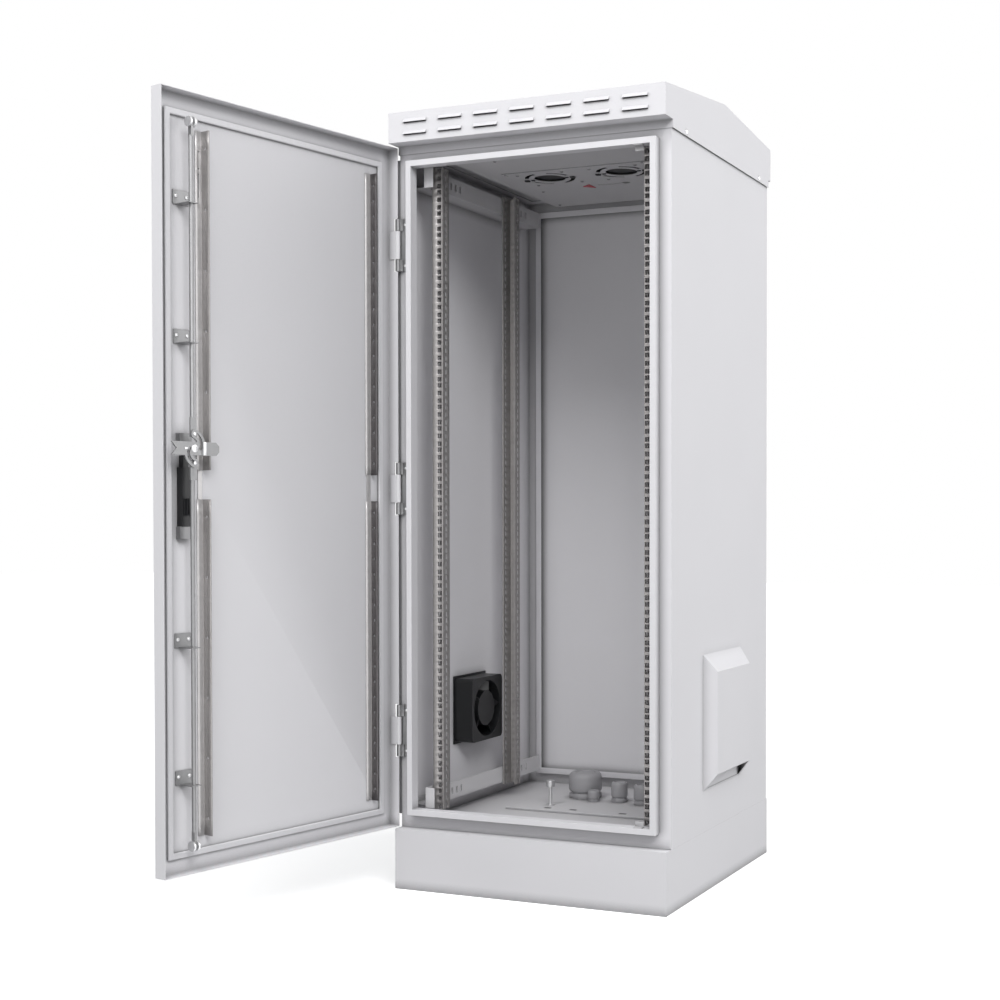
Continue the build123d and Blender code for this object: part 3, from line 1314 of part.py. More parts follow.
def panel_screws():
    screws = []
    x = DOORWAY_HALF - FRAME_WIDTH
    inset = FRAME_WIDTH * 3
    for z in (DOOR_LOW + inset, (BODY_BOTTOM + BODY_TOP) / 2, BODY_TOP - inset):
        ends = [(x, BODY_DEPTH, z), (x, BODY_DEPTH + SCREW_HEAD, z)]
        screws += both_sides(bar(*ends, SCREW_RADIUS, SCREW_SIDES))
    z = ROOF_LIP_Z - ROOF_SKIRT_DROP / 2 - 1
    for y in (ROOF_POST_INSET, BODY_DEPTH - ROOF_POST_INSET):
        ends = [(ROOF_HALF, y, z), (ROOF_HALF + SCREW_HEAD, y, z)]
        screws += both_sides(bar(*ends, SCREW_RADIUS, SCREW_SIDES))
    return group(screws)


def body_pieces():
    """Pieces of the standing body."""
    pieces = {
        "plinth": plinth(),
        "body_shell": body_shell(),
        "gutter_frame": gutter_frame(),
        "rear_panel": rear_panel(),
        "roof_canopy": roof_canopy(),
        "top_panel": top_panel(),
        "ceiling_tray": ceiling_tray(),
        "fan_plate": fan_plate(),
        "marker_arrow": marker_arrow(),
        "side_fan_plate": side_fan_plate(),
        "left_hood": mirror(side_hood(), Plane.YZ),
        "right_hood": side_hood(),
        "right_filter_frame": right_filter_frame(),
        "floor_panel": floor_panel(),
        "gland_plate": gland_plate(),
        "gland_large": cable_gland(*LARGE_GLAND),
        "gland_small": cable_gland(*SMALL_GLAND),
        "glands_medium": group([cable_gland(*gland) for gland in MEDIUM_GLANDS]),
        "earth_stud": earth_stud(),
        "rail_screws": rail_screws(),
        "rod_keepers": rod_keepers(),
        "panel_screws": panel_screws(),
    }
    rack_rails = {
        "front": rack_rail(FRONT_RAIL_Y, 1, rack_hole_heights()),
        "rear": rack_rail(REAR_RAIL_Y, -1, []),
    }
    for place, rail in rack_rails.items():
        pieces[f"rack_rail_{place}_right"] = rail
        pieces[f"rack_rail_{place}_left"] = mirror(rail, Plane.YZ)
    tab_drop = DEPTH_RAIL_TAB_HEIGHT - DEPTH_RAIL_HEIGHT
    depth_rails = {
        "lower": (DEPTH_RAIL_LOW, DEPTH_RAIL_LOW),
        "upper": (DEPTH_RAIL_HIGH, DEPTH_RAIL_HIGH - tab_drop),
    }
    for place, (low, tab_low) in depth_rails.items():
        pieces[f"depth_rail_{place}_right"] = depth_rail(low)
        pieces[f"depth_rail_{place}_left"] = mirror(tabbed_depth_rail(low, tab_low), Plane.YZ)
    for name, middle in zip(("lower", "middle", "upper"), HINGE_HEIGHTS):
        pieces["hinge_bracket_" + name] = hinge_bracket(middle)
    roof_housing = fan_housing(ROOF_FAN_SIZE, ROOF_FAN_DEPTH, ROOF_FAN_BORE, ROOF_FAN_HUB)
    roof_rotor = fan_rotor(ROOF_FAN_DEPTH, ROOF_FAN_BORE, ROOF_FAN_HUB)
    for name, side in (("1", -1), ("2", 1)):
        pieces[f"roof_fan_{name}_housing"] = roof_fan_place(side) * roof_housing
        pieces[f"roof_fan_{name}_rotor"] = roof_fan_place(side) * roof_rotor
    side_housing = fan_housing(SIDE_FAN_SIZE, SIDE_FAN_DEPTH, SIDE_FAN_BORE, SIDE_FAN_HUB)
    side_rotor = fan_rotor(SIDE_FAN_DEPTH, SIDE_FAN_BORE, SIDE_FAN_HUB)
    pieces["side_fan_housing"] = side_fan_place() * side_housing
    pieces["side_fan_rotor"] = side_fan_place() * side_rotor
    return pieces


def door_pieces():
    """Pieces that ride on the door, drawn with the door shut."""
    pieces = {
        "door_panel": door_panel(),
        "door_gasket": door_gasket(),
        "stiffener_joiners": stiffener_joiners(),
        "rod_guides": group([rod_guide(z) for z in GUIDE_HEIGHTS]),
        "guide_screws": guide_screws(),
        "lock_escutcheon": lock_escutcheon(),
        "lock_body": lock_body(),
        "lock_clamps": lock_clamps(),
        "lock_spindle": lock_spindle(),
        "lock_cam": lock_cam(),
        "lock_lever": lock_lever(),
        "lever_pin": lever_pin(),
        "rod_upper": lock_rod(1),
        "rod_lower": lock_rod(-1),
        "roller_upper": rod_roller(ROLLER_HIGH_Z),
        "roller_lower": rod_roller(ROLLER_LOW_Z),
    }
    for line, (foot_x, flange, depth) in stiffener_feet().items():
        for level, (low, high) in STIFFENER_SPANS.items():
            pieces[f"stiffener_{line}_{level}"] = stiffener(foot_x, flange, depth, low, high)
    return pieces


def main():
    os.makedirs("parts", exist_ok=True)
    to_origin = Pos(0, -PLINTH_MIDDLE_Y, 0)
    open_door = Pos(HINGE_X, HINGE_Y, 0) * Rot(0, 0, -DOOR_OPEN_ANGLE) * Pos(-HINGE_X, -HINGE_Y, 0)
    for name, piece in body_pieces().items():
        export_step(to_origin * piece, f"parts/{name}.step")
    for name, piece in door_pieces().items():
        export_step(to_origin * open_door * piece, f"parts/{name}.step")


main()
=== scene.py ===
"""Roadside utility cabinet with its door open: finishes, fine pieces, studio and camera."""

import json
import math

import bmesh
import bpy
from bpy.props import FloatProperty, FloatVectorProperty, PointerProperty
from mathutils import Matrix, Vector

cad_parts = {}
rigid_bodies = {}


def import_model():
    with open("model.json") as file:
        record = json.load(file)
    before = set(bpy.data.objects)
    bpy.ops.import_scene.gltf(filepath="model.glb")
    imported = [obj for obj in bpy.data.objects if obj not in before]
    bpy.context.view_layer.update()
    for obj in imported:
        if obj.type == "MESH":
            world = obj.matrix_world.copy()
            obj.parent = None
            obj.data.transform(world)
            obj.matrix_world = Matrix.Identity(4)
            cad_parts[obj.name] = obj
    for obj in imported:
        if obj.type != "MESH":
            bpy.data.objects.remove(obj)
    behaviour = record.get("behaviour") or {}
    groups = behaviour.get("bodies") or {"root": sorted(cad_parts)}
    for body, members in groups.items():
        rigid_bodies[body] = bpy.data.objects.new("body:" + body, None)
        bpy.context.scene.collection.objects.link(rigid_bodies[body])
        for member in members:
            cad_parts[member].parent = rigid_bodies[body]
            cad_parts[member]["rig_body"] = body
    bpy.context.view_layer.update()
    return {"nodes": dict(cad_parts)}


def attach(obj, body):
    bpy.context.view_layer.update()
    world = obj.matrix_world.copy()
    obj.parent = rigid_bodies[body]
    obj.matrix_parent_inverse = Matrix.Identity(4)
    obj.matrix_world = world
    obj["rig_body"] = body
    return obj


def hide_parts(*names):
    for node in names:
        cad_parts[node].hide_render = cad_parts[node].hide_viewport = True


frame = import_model()

bl_info = {
    "name": "Roadside cabinet",
    "version": (1, 0, 0),
    "blender": (4, 5, 0),
    "location": "View3D > Sidebar > Cabinet",
    "description": "Dresses the open roadside utility cabinet and its studio",
    "category": "Object",
}

MM = 0.001
# Pieces are drawn in millimetres with the door shut and Y = 0 on the body's front plane
ORIGIN_Y = 288.75 * MM
# Degrees by which the door stands open in the frame, about the hinge line
DOOR_OPEN_ANGLE = 102.24
HINGE_LINE = Vector((-302.35, -5.89, 0.0))
BODY_PLACE = Matrix.Translation((0.0, -ORIGIN_Y, 0.0)) @ Matrix.Scale(MM, 4)
DOOR_PLACE = (
    BODY_PLACE
    @ Matrix.Translation(HINGE_LINE)
    @ Matrix.Rotation(math.radians(-DOOR_OPEN_ANGLE), 4, "Z")
    @ Matrix.Translation(-HINGE_LINE)
)
DOOR_BODIES = (
    "door", "lock_turn", "lever", "upper_rod", "lower_rod", "upper_roller", "lower_roller"
)

# Heights and planes that the fine pieces share with the frame
RAIL_LOW, RAIL_HIGH = 157.0, 1490.6
RACK_UNIT, RACK_STEP, SQUARE_HOLE = 44.45, 15.875, 9.5
CEILING_Z = 1500.0
FAN_PLATE_UNDER = CEILING_Z - 1.5
FLOOR_TOP = 129.0
DOOR_SKIN = -28.1
LOCK_X, LOCK_Z = 237.65, 889.0
CAM_FACE = 8.6

# Punched sheets are drawn this much thinner than in the frame, so that no faces coincide
SHEET_SLACK = 0.02
# Degrees past which an edge stays sharp, in general and on sheets with slight folds
SHARP_ANGLE, FOLD_ANGLE = 35.0, 14.0


def linear(code):
    """Linear colour from an sRGB hex value."""
    channels = [int(code[index:index + 2], 16) / 255 for index in (1, 3, 5)]
    return [c / 12.92 if c <= 0.04045 else ((c + 0.055) / 1.055) ** 2.4 for c in channels]


def colour(name, code, words):
    """Colour property with its default given as sRGB hex."""
    return FloatVectorProperty(
        name=name, description=words, subtype="COLOR", size=3, min=0.0, max=1.0,
        default=linear(code),
    )


def size(name, millimetres, words):
    """Length property with its default given in millimetres."""
    return FloatProperty(
        name=name, description=words, subtype="DISTANCE", unit="LENGTH", default=millimetres * MM
    )


class CabinetFinish(bpy.types.PropertyGroup):
    paint: colour("Paint", "#E2E1E4", "Powder coat on the outside and the door")
    paint_inside: colour("Inside paint", "#CDCCCE", "Powder coat on the inner trays and rails")
    galvanised: colour("Galvanised", "#9E9B9A", "Zinc coated rack rails")
    bracket: colour("Bracket steel", "#C2C0C0", "Zinc coated stiffeners on the door")
    # Zinc darkened as painted shade, for the uprights beside the hinges
    dark_zinc: colour("Dark zinc", "#575455", "Perforated uprights beside the hinges")
    zinc: colour("Zinc plate", "#8F8F90", "Plated rods, lock parts and brackets")
    bright: colour("Bright steel", "#8C8C8E", "Screws, pins and rollers")
    black: colour("Black plastic", "#131416", "Fan housings, lock body and lever")
    gland: colour("Gland plastic", "#9E9DA0", "Cable glands")
    foam: colour("Gasket foam", "#E0DFE2", "Foamed gasket on the door")
    marker: colour("Marker", "#C01F33", "Arrow under the fan plate")


class CabinetSizes(bpy.types.PropertyGroup):
    fold_radius: size("Fold radius", 0.54, "Outer radius of folded sheet edges")
    edge_radius: size("Small edge radius", 0.35, "Edge radius of small pieces")
    gasket_radius: size("Gasket radius", 2.6, "Rounding of the foamed gasket")
    side_hole_width: size("Side hole width", 6.4, "Width of the holes in the rails' side flanges")
    stiffener_hole: size("Stiffener hole", 4.4, "Width of the small holes in the door's stiffeners")
    stiffener_pitch: size("Stiffener hole pitch", 31.4, "Spacing of the holes beside the hinges")
    screw_radius: size("Ceiling screw radius", 3.2, "Radius of the ceiling tray's pan head screws")


# Node helpers and materials

def add(tree, kind, links=(), **settings):
    """One node with its settings, input values by name, and links as (input, source socket)."""
    node = tree.nodes.new(kind)
    for name, value in settings.items():
        if name in node.inputs.keys():
            node.inputs[name].default_value = value
        else:
            setattr(node, name, value)
    for name, socket in links:
        tree.links.new(socket, node.inputs[name])
    return node


def new_material(name):
    """Empty node material with its tree and the Object coordinates."""
    material = bpy.data.materials.new(name)
    material.use_nodes = True
    tree = material.node_tree
    tree.nodes.clear()
    place = tree.nodes.new("ShaderNodeTexCoord").outputs["Object"]
    return material, tree, place


def tones(base, low, high):
    """Base colour at two levels, the ends between which a pattern runs, for a Mix node."""
    return {
        "A": [channel * low for channel in base] + [1.0],
        "B": [min(1.0, channel * high) for channel in base] + [1.0],
    }


def powder_coat(name, base):
    """Polyester powder coat, sprayed on and baked."""
    # To the eye: even and satin, with a fine orange peel in the highlights, and painted shade that
    # dulls the folds
    material, tree, place = new_material(name)
    # Orange peel of powder coat is about 1.5 mm across
    peel = add(tree, "ShaderNodeTexNoise", [("Vector", place)], Scale=1 / (1.5 * MM), Detail=3.0)
    bump = add(
        tree, "ShaderNodeBump", [("Height", peel.outputs["Fac"])], Strength=0.06, Distance=0.4 * MM
    )
    # Dust and handling change the tone slowly, over about 300 mm
    cloud = add(tree, "ShaderNodeTexNoise", [("Vector", place)], Scale=1 / (300 * MM), Detail=2.0)
    tone = add(
        tree, "ShaderNodeMix", [("Factor", cloud.outputs["Fac"])],
        data_type="RGBA", **tones(base, 0.975, 1.02),
    )
    # Painted shade darkens folds and corners, within about 22 mm of them
    painted_crease_shade = add(
        tree, "ShaderNodeAmbientOcclusion", [("Color", tone.outputs["Result"])],
        samples=6, Distance=22 * MM,
    )
    rough = add(
        tree, "ShaderNodeMapRange", [("Value", peel.outputs["Fac"])],
        **{"To Min": 0.60, "To Max": 0.72},
    )
    shader = add(
        tree, "ShaderNodeBsdfPrincipled",
        [
            ("Base Color", painted_crease_shade.outputs["Color"]), ("Roughness", rough.outputs["Result"]),
            ("Normal", bump.outputs["Normal"]),
        ],
    )
    add(tree, "ShaderNodeOutputMaterial", [("Surface", shader.outputs["BSDF"])])
    return material


def galvanised_sheet(name, base):
    """Steel sheet, hot dip galvanised and rolled."""
    # To the eye: dull metal, mottled by faint spangles and by streaks along the rolling direction
    material, tree, place = new_material(name)
    # Spangles are about 6 mm across
    spangle = add(tree, "ShaderNodeTexVoronoi", [("Vector", place)], Scale=1 / (6 * MM))
    # Streaks are about 2.5 mm wide and 80 mm long
    stretch = add(
        tree, "ShaderNodeMapping", [("Vector", place)],
        Scale=(1 / (2.5 * MM), 1 / (2.5 * MM), 12.0),
    )
    streak = add(
        tree, "ShaderNodeTexNoise", [("Vector", stretch.outputs["Vector"])], Scale=1.0, Detail=3.0
    )
    grey = add(tree, "ShaderNodeRGBToBW", [("Color", spangle.outputs["Color"])])
    blend = add(
        tree, "ShaderNodeMix", [("A", grey.outputs["Val"]), ("B", streak.outputs["Fac"])],
        data_type="FLOAT", Factor=0.55,
    )
    tone = add(
        tree, "ShaderNodeMix", [("Factor", blend.outputs["Result"])],
        data_type="RGBA", **tones(base, 0.86, 1.1),
    )
    rough = add(
        tree, "ShaderNodeMapRange", [("Value", blend.outputs["Result"])],
        **{"To Min": 0.34, "To Max": 0.52},
    )
    shader = add(
        tree, "ShaderNodeBsdfPrincipled",
        [("Base Color", tone.outputs["Result"]), ("Roughness", rough.outputs["Result"])],
        Metallic=0.55,
    )
    add(tree, "ShaderNodeOutputMaterial", [("Surface", shader.outputs["BSDF"])])
    return material


def zinc_plate(name, base, roughness):
    """Steel, electroplated with bright zinc."""
    # To the eye: cool metal with a slightly cloudy, wiped sheen
    material, tree, place = new_material(name)
    # Plating clouds over about 9 mm
    cloud = add(tree, "ShaderNodeTexNoise", [("Vector", place)], Scale=1 / (9 * MM), Detail=4.0)
    tone = add(
        tree, "ShaderNodeMix", [("Factor", cloud.outputs["Fac"])],
        data_type="RGBA", **tones(base, 0.85, 1.12),
    )
    rough = add(
        tree, "ShaderNodeMapRange", [("Value", cloud.outputs["Fac"])],
        **{"To Min": roughness, "To Max": roughness + 0.14},
    )
    shader = add(
        tree, "ShaderNodeBsdfPrincipled",
        [("Base Color", tone.outputs["Result"]), ("Roughness", rough.outputs["Result"])],
        Metallic=0.75,
    )
    add(tree, "ShaderNodeOutputMaterial", [("Surface", shader.outputs["BSDF"])])
    return material


def moulded_plastic(name, base, roughness, grain):
    """Plastic, injection moulded in a spark-eroded tool."""
    # To the eye: one even colour, with soft highlights broken up by a fine grain
    material, tree, place = new_material(name)
    texture = add(tree, "ShaderNodeTexNoise", [("Vector", place)], Scale=1 / grain, Detail=2.0)
    bump = add(
        tree, "ShaderNodeBump", [("Height", texture.outputs["Fac"])],
        Strength=0.12, Distance=0.3 * MM,
    )
    tone = add(
        tree, "ShaderNodeMix", [("Factor", texture.outputs["Fac"])],
        data_type="RGBA", **tones(base, 0.9, 1.1),
    )
    shader = add(
        tree, "ShaderNodeBsdfPrincipled",
        [("Base Color", tone.outputs["Result"]), ("Normal", bump.outputs["Normal"])],
        Roughness=roughness,
    )
    add(tree, "ShaderNodeOutputMaterial", [("Surface", shader.outputs["BSDF"])])
    return material


def gasket_foam(name, base):
    """Polyurethane, foamed and poured in place."""
    # To the eye: matt and pale, pitted by small cells, with painted shade where it meets the door
    material, tree, place = new_material(name)
    # Cells are about 0.8 mm; drawn at 1.6 mm so that they show
    cells = add(tree, "ShaderNodeTexVoronoi", [("Vector", place)], Scale=1 / (1.6 * MM))
    bump = add(
        tree, "ShaderNodeBump", [("Height", cells.outputs["Distance"])],
        Strength=0.2, Distance=0.5 * MM,
    )
    tone = add(
        tree, "ShaderNodeMix", [("Factor", cells.outputs["Distance"])],
        data_type="RGBA", **tones(base, 0.92, 1.03),
    )
    # Painted shade darkens the foam within about 9 mm of the door and of its folds
    painted_crease_shade = add(
        tree, "ShaderNodeAmbientOcclusion", [("Color", tone.outputs["Result"])],
        samples=6, Distance=9 * MM,
    )
    shader = add(
        tree, "ShaderNodeBsdfPrincipled",
        [("Base Color", painted_crease_shade.outputs["Color"]), ("Normal", bump.outputs["Normal"])],
        Roughness=0.85,
    )
    add(tree, "ShaderNodeOutputMaterial", [("Surface", shader.outputs["BSDF"])])
    return material


def finishes(context):
    """Materials of the cabinet by name, made once."""
    look = context.scene.cabinet_finish
    makers = {
        # Pale satin paint of the outside and the door
        "powder_coat": lambda name: powder_coat(name, look.paint),
        # The same paint, a shade darker on the trays and rails inside
        "powder_coat_inside": lambda name: powder_coat(name, look.paint_inside),
        # Mid grey rails with a mottle that breaks up their highlights
        "galvanised_sheet": lambda name: galvanised_sheet(name, look.galvanised),
        # Paler zinc on the stiffeners' feet, close to the door's own tone; their uprights take
        # darker zinc as painted shade
        "bracket_steel": lambda name: galvanised_sheet(name, look.bracket),
        # Zinc darkened as painted shade, the dark line beside the hinges
        "dark_zinc": lambda name: galvanised_sheet(name, look.dark_zinc),
        # Cloudy silver of pressed brackets and rods
        "zinc_plate": lambda name: zinc_plate(name, look.zinc, roughness=0.42),
        # Turned and polished before plating, so the highlights are tighter
        "bright_steel": lambda name: zinc_plate(name, look.bright, roughness=0.34),
        # Deep black with a faint sheen on fans and handle
        "black_abs": lambda name: moulded_plastic(name, look.black, 0.42, grain=0.7 * MM),
        # Slightly waxy grey of the glands
        "grey_nylon": lambda name: moulded_plastic(name, look.gland, 0.5, grain=0.9 * MM),
        # Pale and matt line round the door
        "gasket_foam": lambda name: gasket_foam(name, look.foam),
        # Smooth coloured film with a soft sheen
        "marker_film": lambda name: moulded_plastic(name, look.marker, 0.35, grain=2.0 * MM),
    }
    for name, make in makers.items():
        if name not in bpy.data.materials:
            make(name)
    return {name: bpy.data.materials[name] for name in makers}


# CAD nodes by the finish that they have
NODE_FINISH = {
    "powder_coat": [
        "plinth", "body_shell", "rear_panel", "roof_canopy", "left_hood", "right_hood",
        "door_panel", "gutter_frame", "lock_escutcheon",
    ],
    "powder_coat_inside": [
        "ceiling_tray", "fan_plate", "top_panel", "floor_panel", "gland_plate",
        "right_filter_frame", "depth_rail_lower_left", "depth_rail_lower_right",
        "depth_rail_upper_left", "depth_rail_upper_right", "rod_keepers",
    ],
    "galvanised_sheet": [
        "rack_rail_front_left", "rack_rail_front_right", "rack_rail_rear_left",
        "rack_rail_rear_right",
    ],
    "bracket_steel": [
        "stiffener_free_lower", "stiffener_free_upper", "stiffener_hinge_lower",
        "stiffener_hinge_upper", "stiffener_joiners",
    ],
    "zinc_plate": [
        "rod_guides", "lock_clamps", "lock_cam", "hinge_bracket_lower", "hinge_bracket_middle",
        "hinge_bracket_upper", "rod_upper", "rod_lower",
    ],
    "bright_steel": [
        "guide_screws", "rail_screws", "panel_screws", "lever_pin",
        "roller_upper", "roller_lower", "earth_stud", "lock_spindle",
    ],
    "black_abs": [
        "lock_body", "lock_lever", "side_fan_plate", "side_fan_housing", "side_fan_rotor",
        "roof_fan_1_housing", "roof_fan_2_housing", "roof_fan_1_rotor", "roof_fan_2_rotor",
    ],
    "grey_nylon": ["gland_large", "gland_small", "glands_medium"],
    "gasket_foam": ["door_gasket"],
    "marker_film": ["marker_arrow"],
}

# Nodes whose own mesh is kept and only has its edges rounded, with the radius that they take
SHEET_NODES = (
    "plinth", "body_shell", "rear_panel", "roof_canopy", "left_hood", "right_hood", "door_panel",
    "gutter_frame", "ceiling_tray", "top_panel", "floor_panel", "gland_plate", "right_filter_frame",
    "depth_rail_lower_left", "depth_rail_lower_right", "depth_rail_upper_left",
    "depth_rail_upper_right", "lock_escutcheon", "side_fan_plate",
)
SMALL_NODES = (
    "rod_guides", "lock_clamps", "lock_cam", "hinge_bracket_lower", "hinge_bracket_middle",
    "hinge_bracket_upper", "rod_upper", "rod_lower", "roller_upper", "roller_lower", "earth_stud",
    "lock_spindle", "lock_body", "lock_lever", "side_fan_rotor",
    "roof_fan_1_housing", "roof_fan_2_housing", "roof_fan_1_rotor", "roof_fan_2_rotor",
    "rod_keepers", "stiffener_joiners",
)


def finish_of(node):
    """Name of the finish that a CAD node has."""
    return next(name for name, nodes in NODE_FINISH.items() if node in nodes)


def body_of(node):
    """Body that a node rides on."""
    return frame["nodes"][node]["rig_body"]


# Mesh helpers

def dress(mesh, name, like, replaced=(), finish=None):
    """Object for a finished mesh, riding on the body of the node that it is like."""
    piece = bpy.data.objects.new(name, mesh)
    bpy.context.scene.collection.objects.link(piece)
    mesh.materials.clear()
    mesh.materials.append(finishes(bpy.context)[finish or finish_of(like)])
    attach(piece, body_of(like))
    if replaced:
        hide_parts(*replaced)
    return piece


def as_piece(bm, name, like, replaced=(), finish=None, smooth_angle=SHARP_ANGLE):
    """Object made of a bmesh that was drawn in millimetres with the door shut."""
    bm.transform(DOOR_PLACE if body_of(like) in DOOR_BODIES else BODY_PLACE)
    mesh = bpy.data.meshes.new(name)
    bm.to_mesh(mesh)
    bm.free()
    mesh.shade_smooth()
    mesh.set_sharp_from_angle(angle=math.radians(smooth_angle))
    return dress(mesh, name, like, replaced, finish)


def round_edges(piece, radius, segments):
    """Bevel modifier on the sharp edges of a piece."""
    bevel = piece.modifiers.new("Edges", "BEVEL")
    bevel.width = radius
    bevel.segments = segments
    bevel.limit_method = "ANGLE"
    bevel.angle_limit = math.radians(SHARP_ANGLE)
    bevel.use_clamp_overlap = True
    bevel.harden_normals = True


def bevelled(bm, geom, offset, segments):
    """Bevels edges of a bmesh."""
    bmesh.ops.bevel(
        bm, geom=geom, offset=offset, segments=segments, profile=0.5, affect="EDGES",
        clamp_overlap=True, material=-1,
    )


def outer_corners(bm):
    """Long edges along X at the four outer corners of a square casing."""
    levels = [limit(vert.co.z for vert in bm.verts) for limit in (min, max)]
    sides = [limit(vert.co.y for vert in bm.verts) for limit in (min, max)]

    def outside(vert):
        off_level = min(abs(vert.co.z - level) for level in levels)
        off_side = min(abs(vert.co.y - side) for side in sides)
        return max(off_level, off_side) < 0.1 * MM

    def along_x(edge):
        run = edge.verts[1].co - edge.verts[0].co
        return run.length > 20 * MM and abs(run.normalized().x) > 0.99

    return [
        edge for edge in bm.edges if all(outside(vert) for vert in edge.verts) and along_x(edge)
    ]


def softened(node, radius, segments=2, corner_radius=0.0):
    """Copy of a CAD node with its edges rounded, standing for the node."""
    bm = bmesh.new()
    bm.from_mesh(frame["nodes"][node].data)
    # The node's mesh is loose triangles: they are joined, and flat faces made whole
    bmesh.ops.remove_doubles(bm, verts=bm.verts, dist=0.005 * MM)
    bmesh.ops.dissolve_limit(bm, angle_limit=math.radians(0.5), verts=bm.verts, edges=bm.edges)
    if corner_radius:
        bevelled(bm, outer_corners(bm), corner_radius, 6)
    mesh = bpy.data.meshes.new(node + "_finished")
    bm.to_mesh(mesh)
    bm.free()
    mesh.shade_smooth()
    mesh.set_sharp_from_angle(angle=math.radians(SHARP_ANGLE))
    round_edges(dress(mesh, node + "_finished", node, [node]), radius, segments)


def merge(bm, part):
    """Takes one bmesh into another."""
    mesh = bpy.data.meshes.new("merged")
    part.to_mesh(mesh)
    part.free()
    bm.from_mesh(mesh)
    bpy.data.meshes.remove(mesh)


def merge_pointed(bm, part, place, direction):
    """Takes a bmesh drawn along Z into another, moved to a place and pointed along a direction."""
    turn = Vector(direction).to_track_quat("Z", "Y").to_matrix().to_4x4()
    part.transform(Matrix.Translation(place) @ turn)
    merge(bm, part)


def around(middle, reach):
    """The two values that lie a reach below and above a middle."""
    return middle - reach, middle + reach


def cuboid(bm, x, y, z, radius):
    """Block between the two values on each axis, with rounded edges."""
    part = bmesh.new()
    bmesh.ops.create_cube(part, size=1.0)
    bmesh.ops.scale(part, vec=[high - low for low, high in (x, y, z)], verts=part.verts)
    bmesh.ops.translate(part, vec=[(low + high) / 2 for low, high in (x, y, z)], verts=part.verts)
    bevelled(part, part.verts[:] + part.edges[:], radius, 2)
    merge(bm, part)


def turned(bm, profile, place, direction=(0, 0, 1), steps=32):
    """Round form spun from (radius, height) points and pointed along a direction."""
    part = bmesh.new()
    verts = [part.verts.new((radius, 0.0, height)) for radius, height in profile]
    for pair in zip(verts, verts[1:]):
        part.edges.new(pair)
    bmesh.ops.spin(
        part, geom=part.verts[:] + part.edges[:], cent=(0, 0, 0), axis=(0, 0, 1), angle=math.tau,
        steps=steps, use_merge=True, use_duplicate=False,
    )
    bmesh.ops.remove_doubles(part, verts=part.verts, dist=0.001)
    bmesh.ops.recalc_face_normals(part, faces=part.faces)
    merge_pointed(bm, part, place, direction)


def pan_screw(bm, place, direction, radius, height=None):
    """Pan head screw with a round drive recess, in usual proportions unless its height is given."""
    height = height or radius * 0.62
    profile = [
        (0.0, 0.45 * height), (0.32 * radius, 0.45 * height), (0.4 * radius, height),
        (0.68 * radius, 0.92 * height), (0.9 * radius, 0.66 * height), (radius, 0.3 * height),
        (radius, 0.0), (0.0, 0.0),
    ]
    turned(bm, profile, place, direction, steps=20)


def six_sided(bm, place, direction, across, height, chamfer=0.4):
    """Nut or bolt head with its top corners taken off."""
    part = bmesh.new()
    # From the width across two flat sides to the radius at the corners
    corner = across / 1.732
    bmesh.ops.create_cone(
        part, cap_ends=True, segments=6, radius1=corner, radius2=corner, depth=height
    )
    bmesh.ops.translate(part, vec=(0, 0, height / 2), verts=part.verts)
    bevelled(part, part.edges[:], chamfer, 1)
    merge_pointed(bm, part, place, direction)


def ring(x, y, radius, count, start=0.0, sweep=360.0):
    """Points of a circle or an arc."""
    steps = count if sweep >= 360 else count - 1
    turns = [math.radians(start + sweep * index / steps) for index in range(count)]
    return [(x + radius * math.cos(turn), y + radius * math.sin(turn)) for turn in turns]


def oblong(x, y, length, width):
    """Points of a slot with round ends, long in X."""
    reach = (length - width) / 2
    right = ring(x + reach, y, width / 2, 10, -90.0, 180.0)
    return right + ring(x - reach, y, width / 2, 10, 90.0, 180.0)


def rectangle(x, y):
    """Corner points of a rectangle between two values on each axis."""
    return [(x[0], y[0]), (x[1], y[0]), (x[1], y[1]), (x[0], y[1])]


def punched_plate(outlines, low, high):
    """Flat plate with holes between two heights, from closed outlines."""
    curve = bpy.data.curves.new("plate", "CURVE")
    curve.dimensions = "2D"
    curve.fill_mode = "BOTH"
    curve.extrude = (high - low) / 2
    for outline in outlines:
        spline = curve.splines.new("POLY")
        spline.points.add(len(outline) - 1)
        for point, (x, y) in zip(spline.points, outline):
            point.co = (x, y, 0.0, 1.0)
        spline.use_cyclic_u = True
    holder = bpy.data.objects.new("plate", curve)
    mesh = bpy.data.meshes.new_from_object(holder)
    bm = bmesh.new()
    bm.from_mesh(mesh)
    bpy.data.objects.remove(holder)
    bpy.data.curves.remove(curve)
    bpy.data.meshes.remove(mesh)
    bmesh.ops.remove_doubles(bm, verts=bm.verts, dist=0.001)
    bmesh.ops.recalc_face_normals(bm, faces=bm.faces)
    bmesh.ops.translate(bm, vec=(0, 0, (low + high) / 2), verts=bm.verts)
    return bm


def punched_fold(path, low, high, holes):
    """Thin sheet folded along a path in plan and drawn up, less its (run, low, high) holes."""
    levels = sorted({low, high, *[z for _, *span in holes for z in span]})
    bm = bmesh.new()
    verts = [bm.verts.new((x, y, low)) for x, y in path]
    row = [bm.edges.new(pair) for pair in zip(verts, verts[1:])]
    gone = []
    for bottom, top in zip(levels, levels[1:]):
        made = bmesh.ops.extrude_edge_only(bm, edges=row)["geom"]
        raised = [item for item in made if isinstance(item, bmesh.types.BMVert)]
        bmesh.ops.translate(bm, vec=(0, 0, top - bottom), verts=raised)
        middle = (bottom + top) / 2
        open_runs = {run for run, start, end in holes if start < middle < end}
        upper = []
        for run, edge in enumerate(row):
            face = next(f for f in edge.link_faces if f in made)
            upper.append(next(e for e in face.edges if not set(e.verts) & set(edge.verts)))
            if run in open_runs:
                gone.append(face)
        row = upper
    bmesh.ops.delete(bm, geom=gone, context="FACES")
    return bm


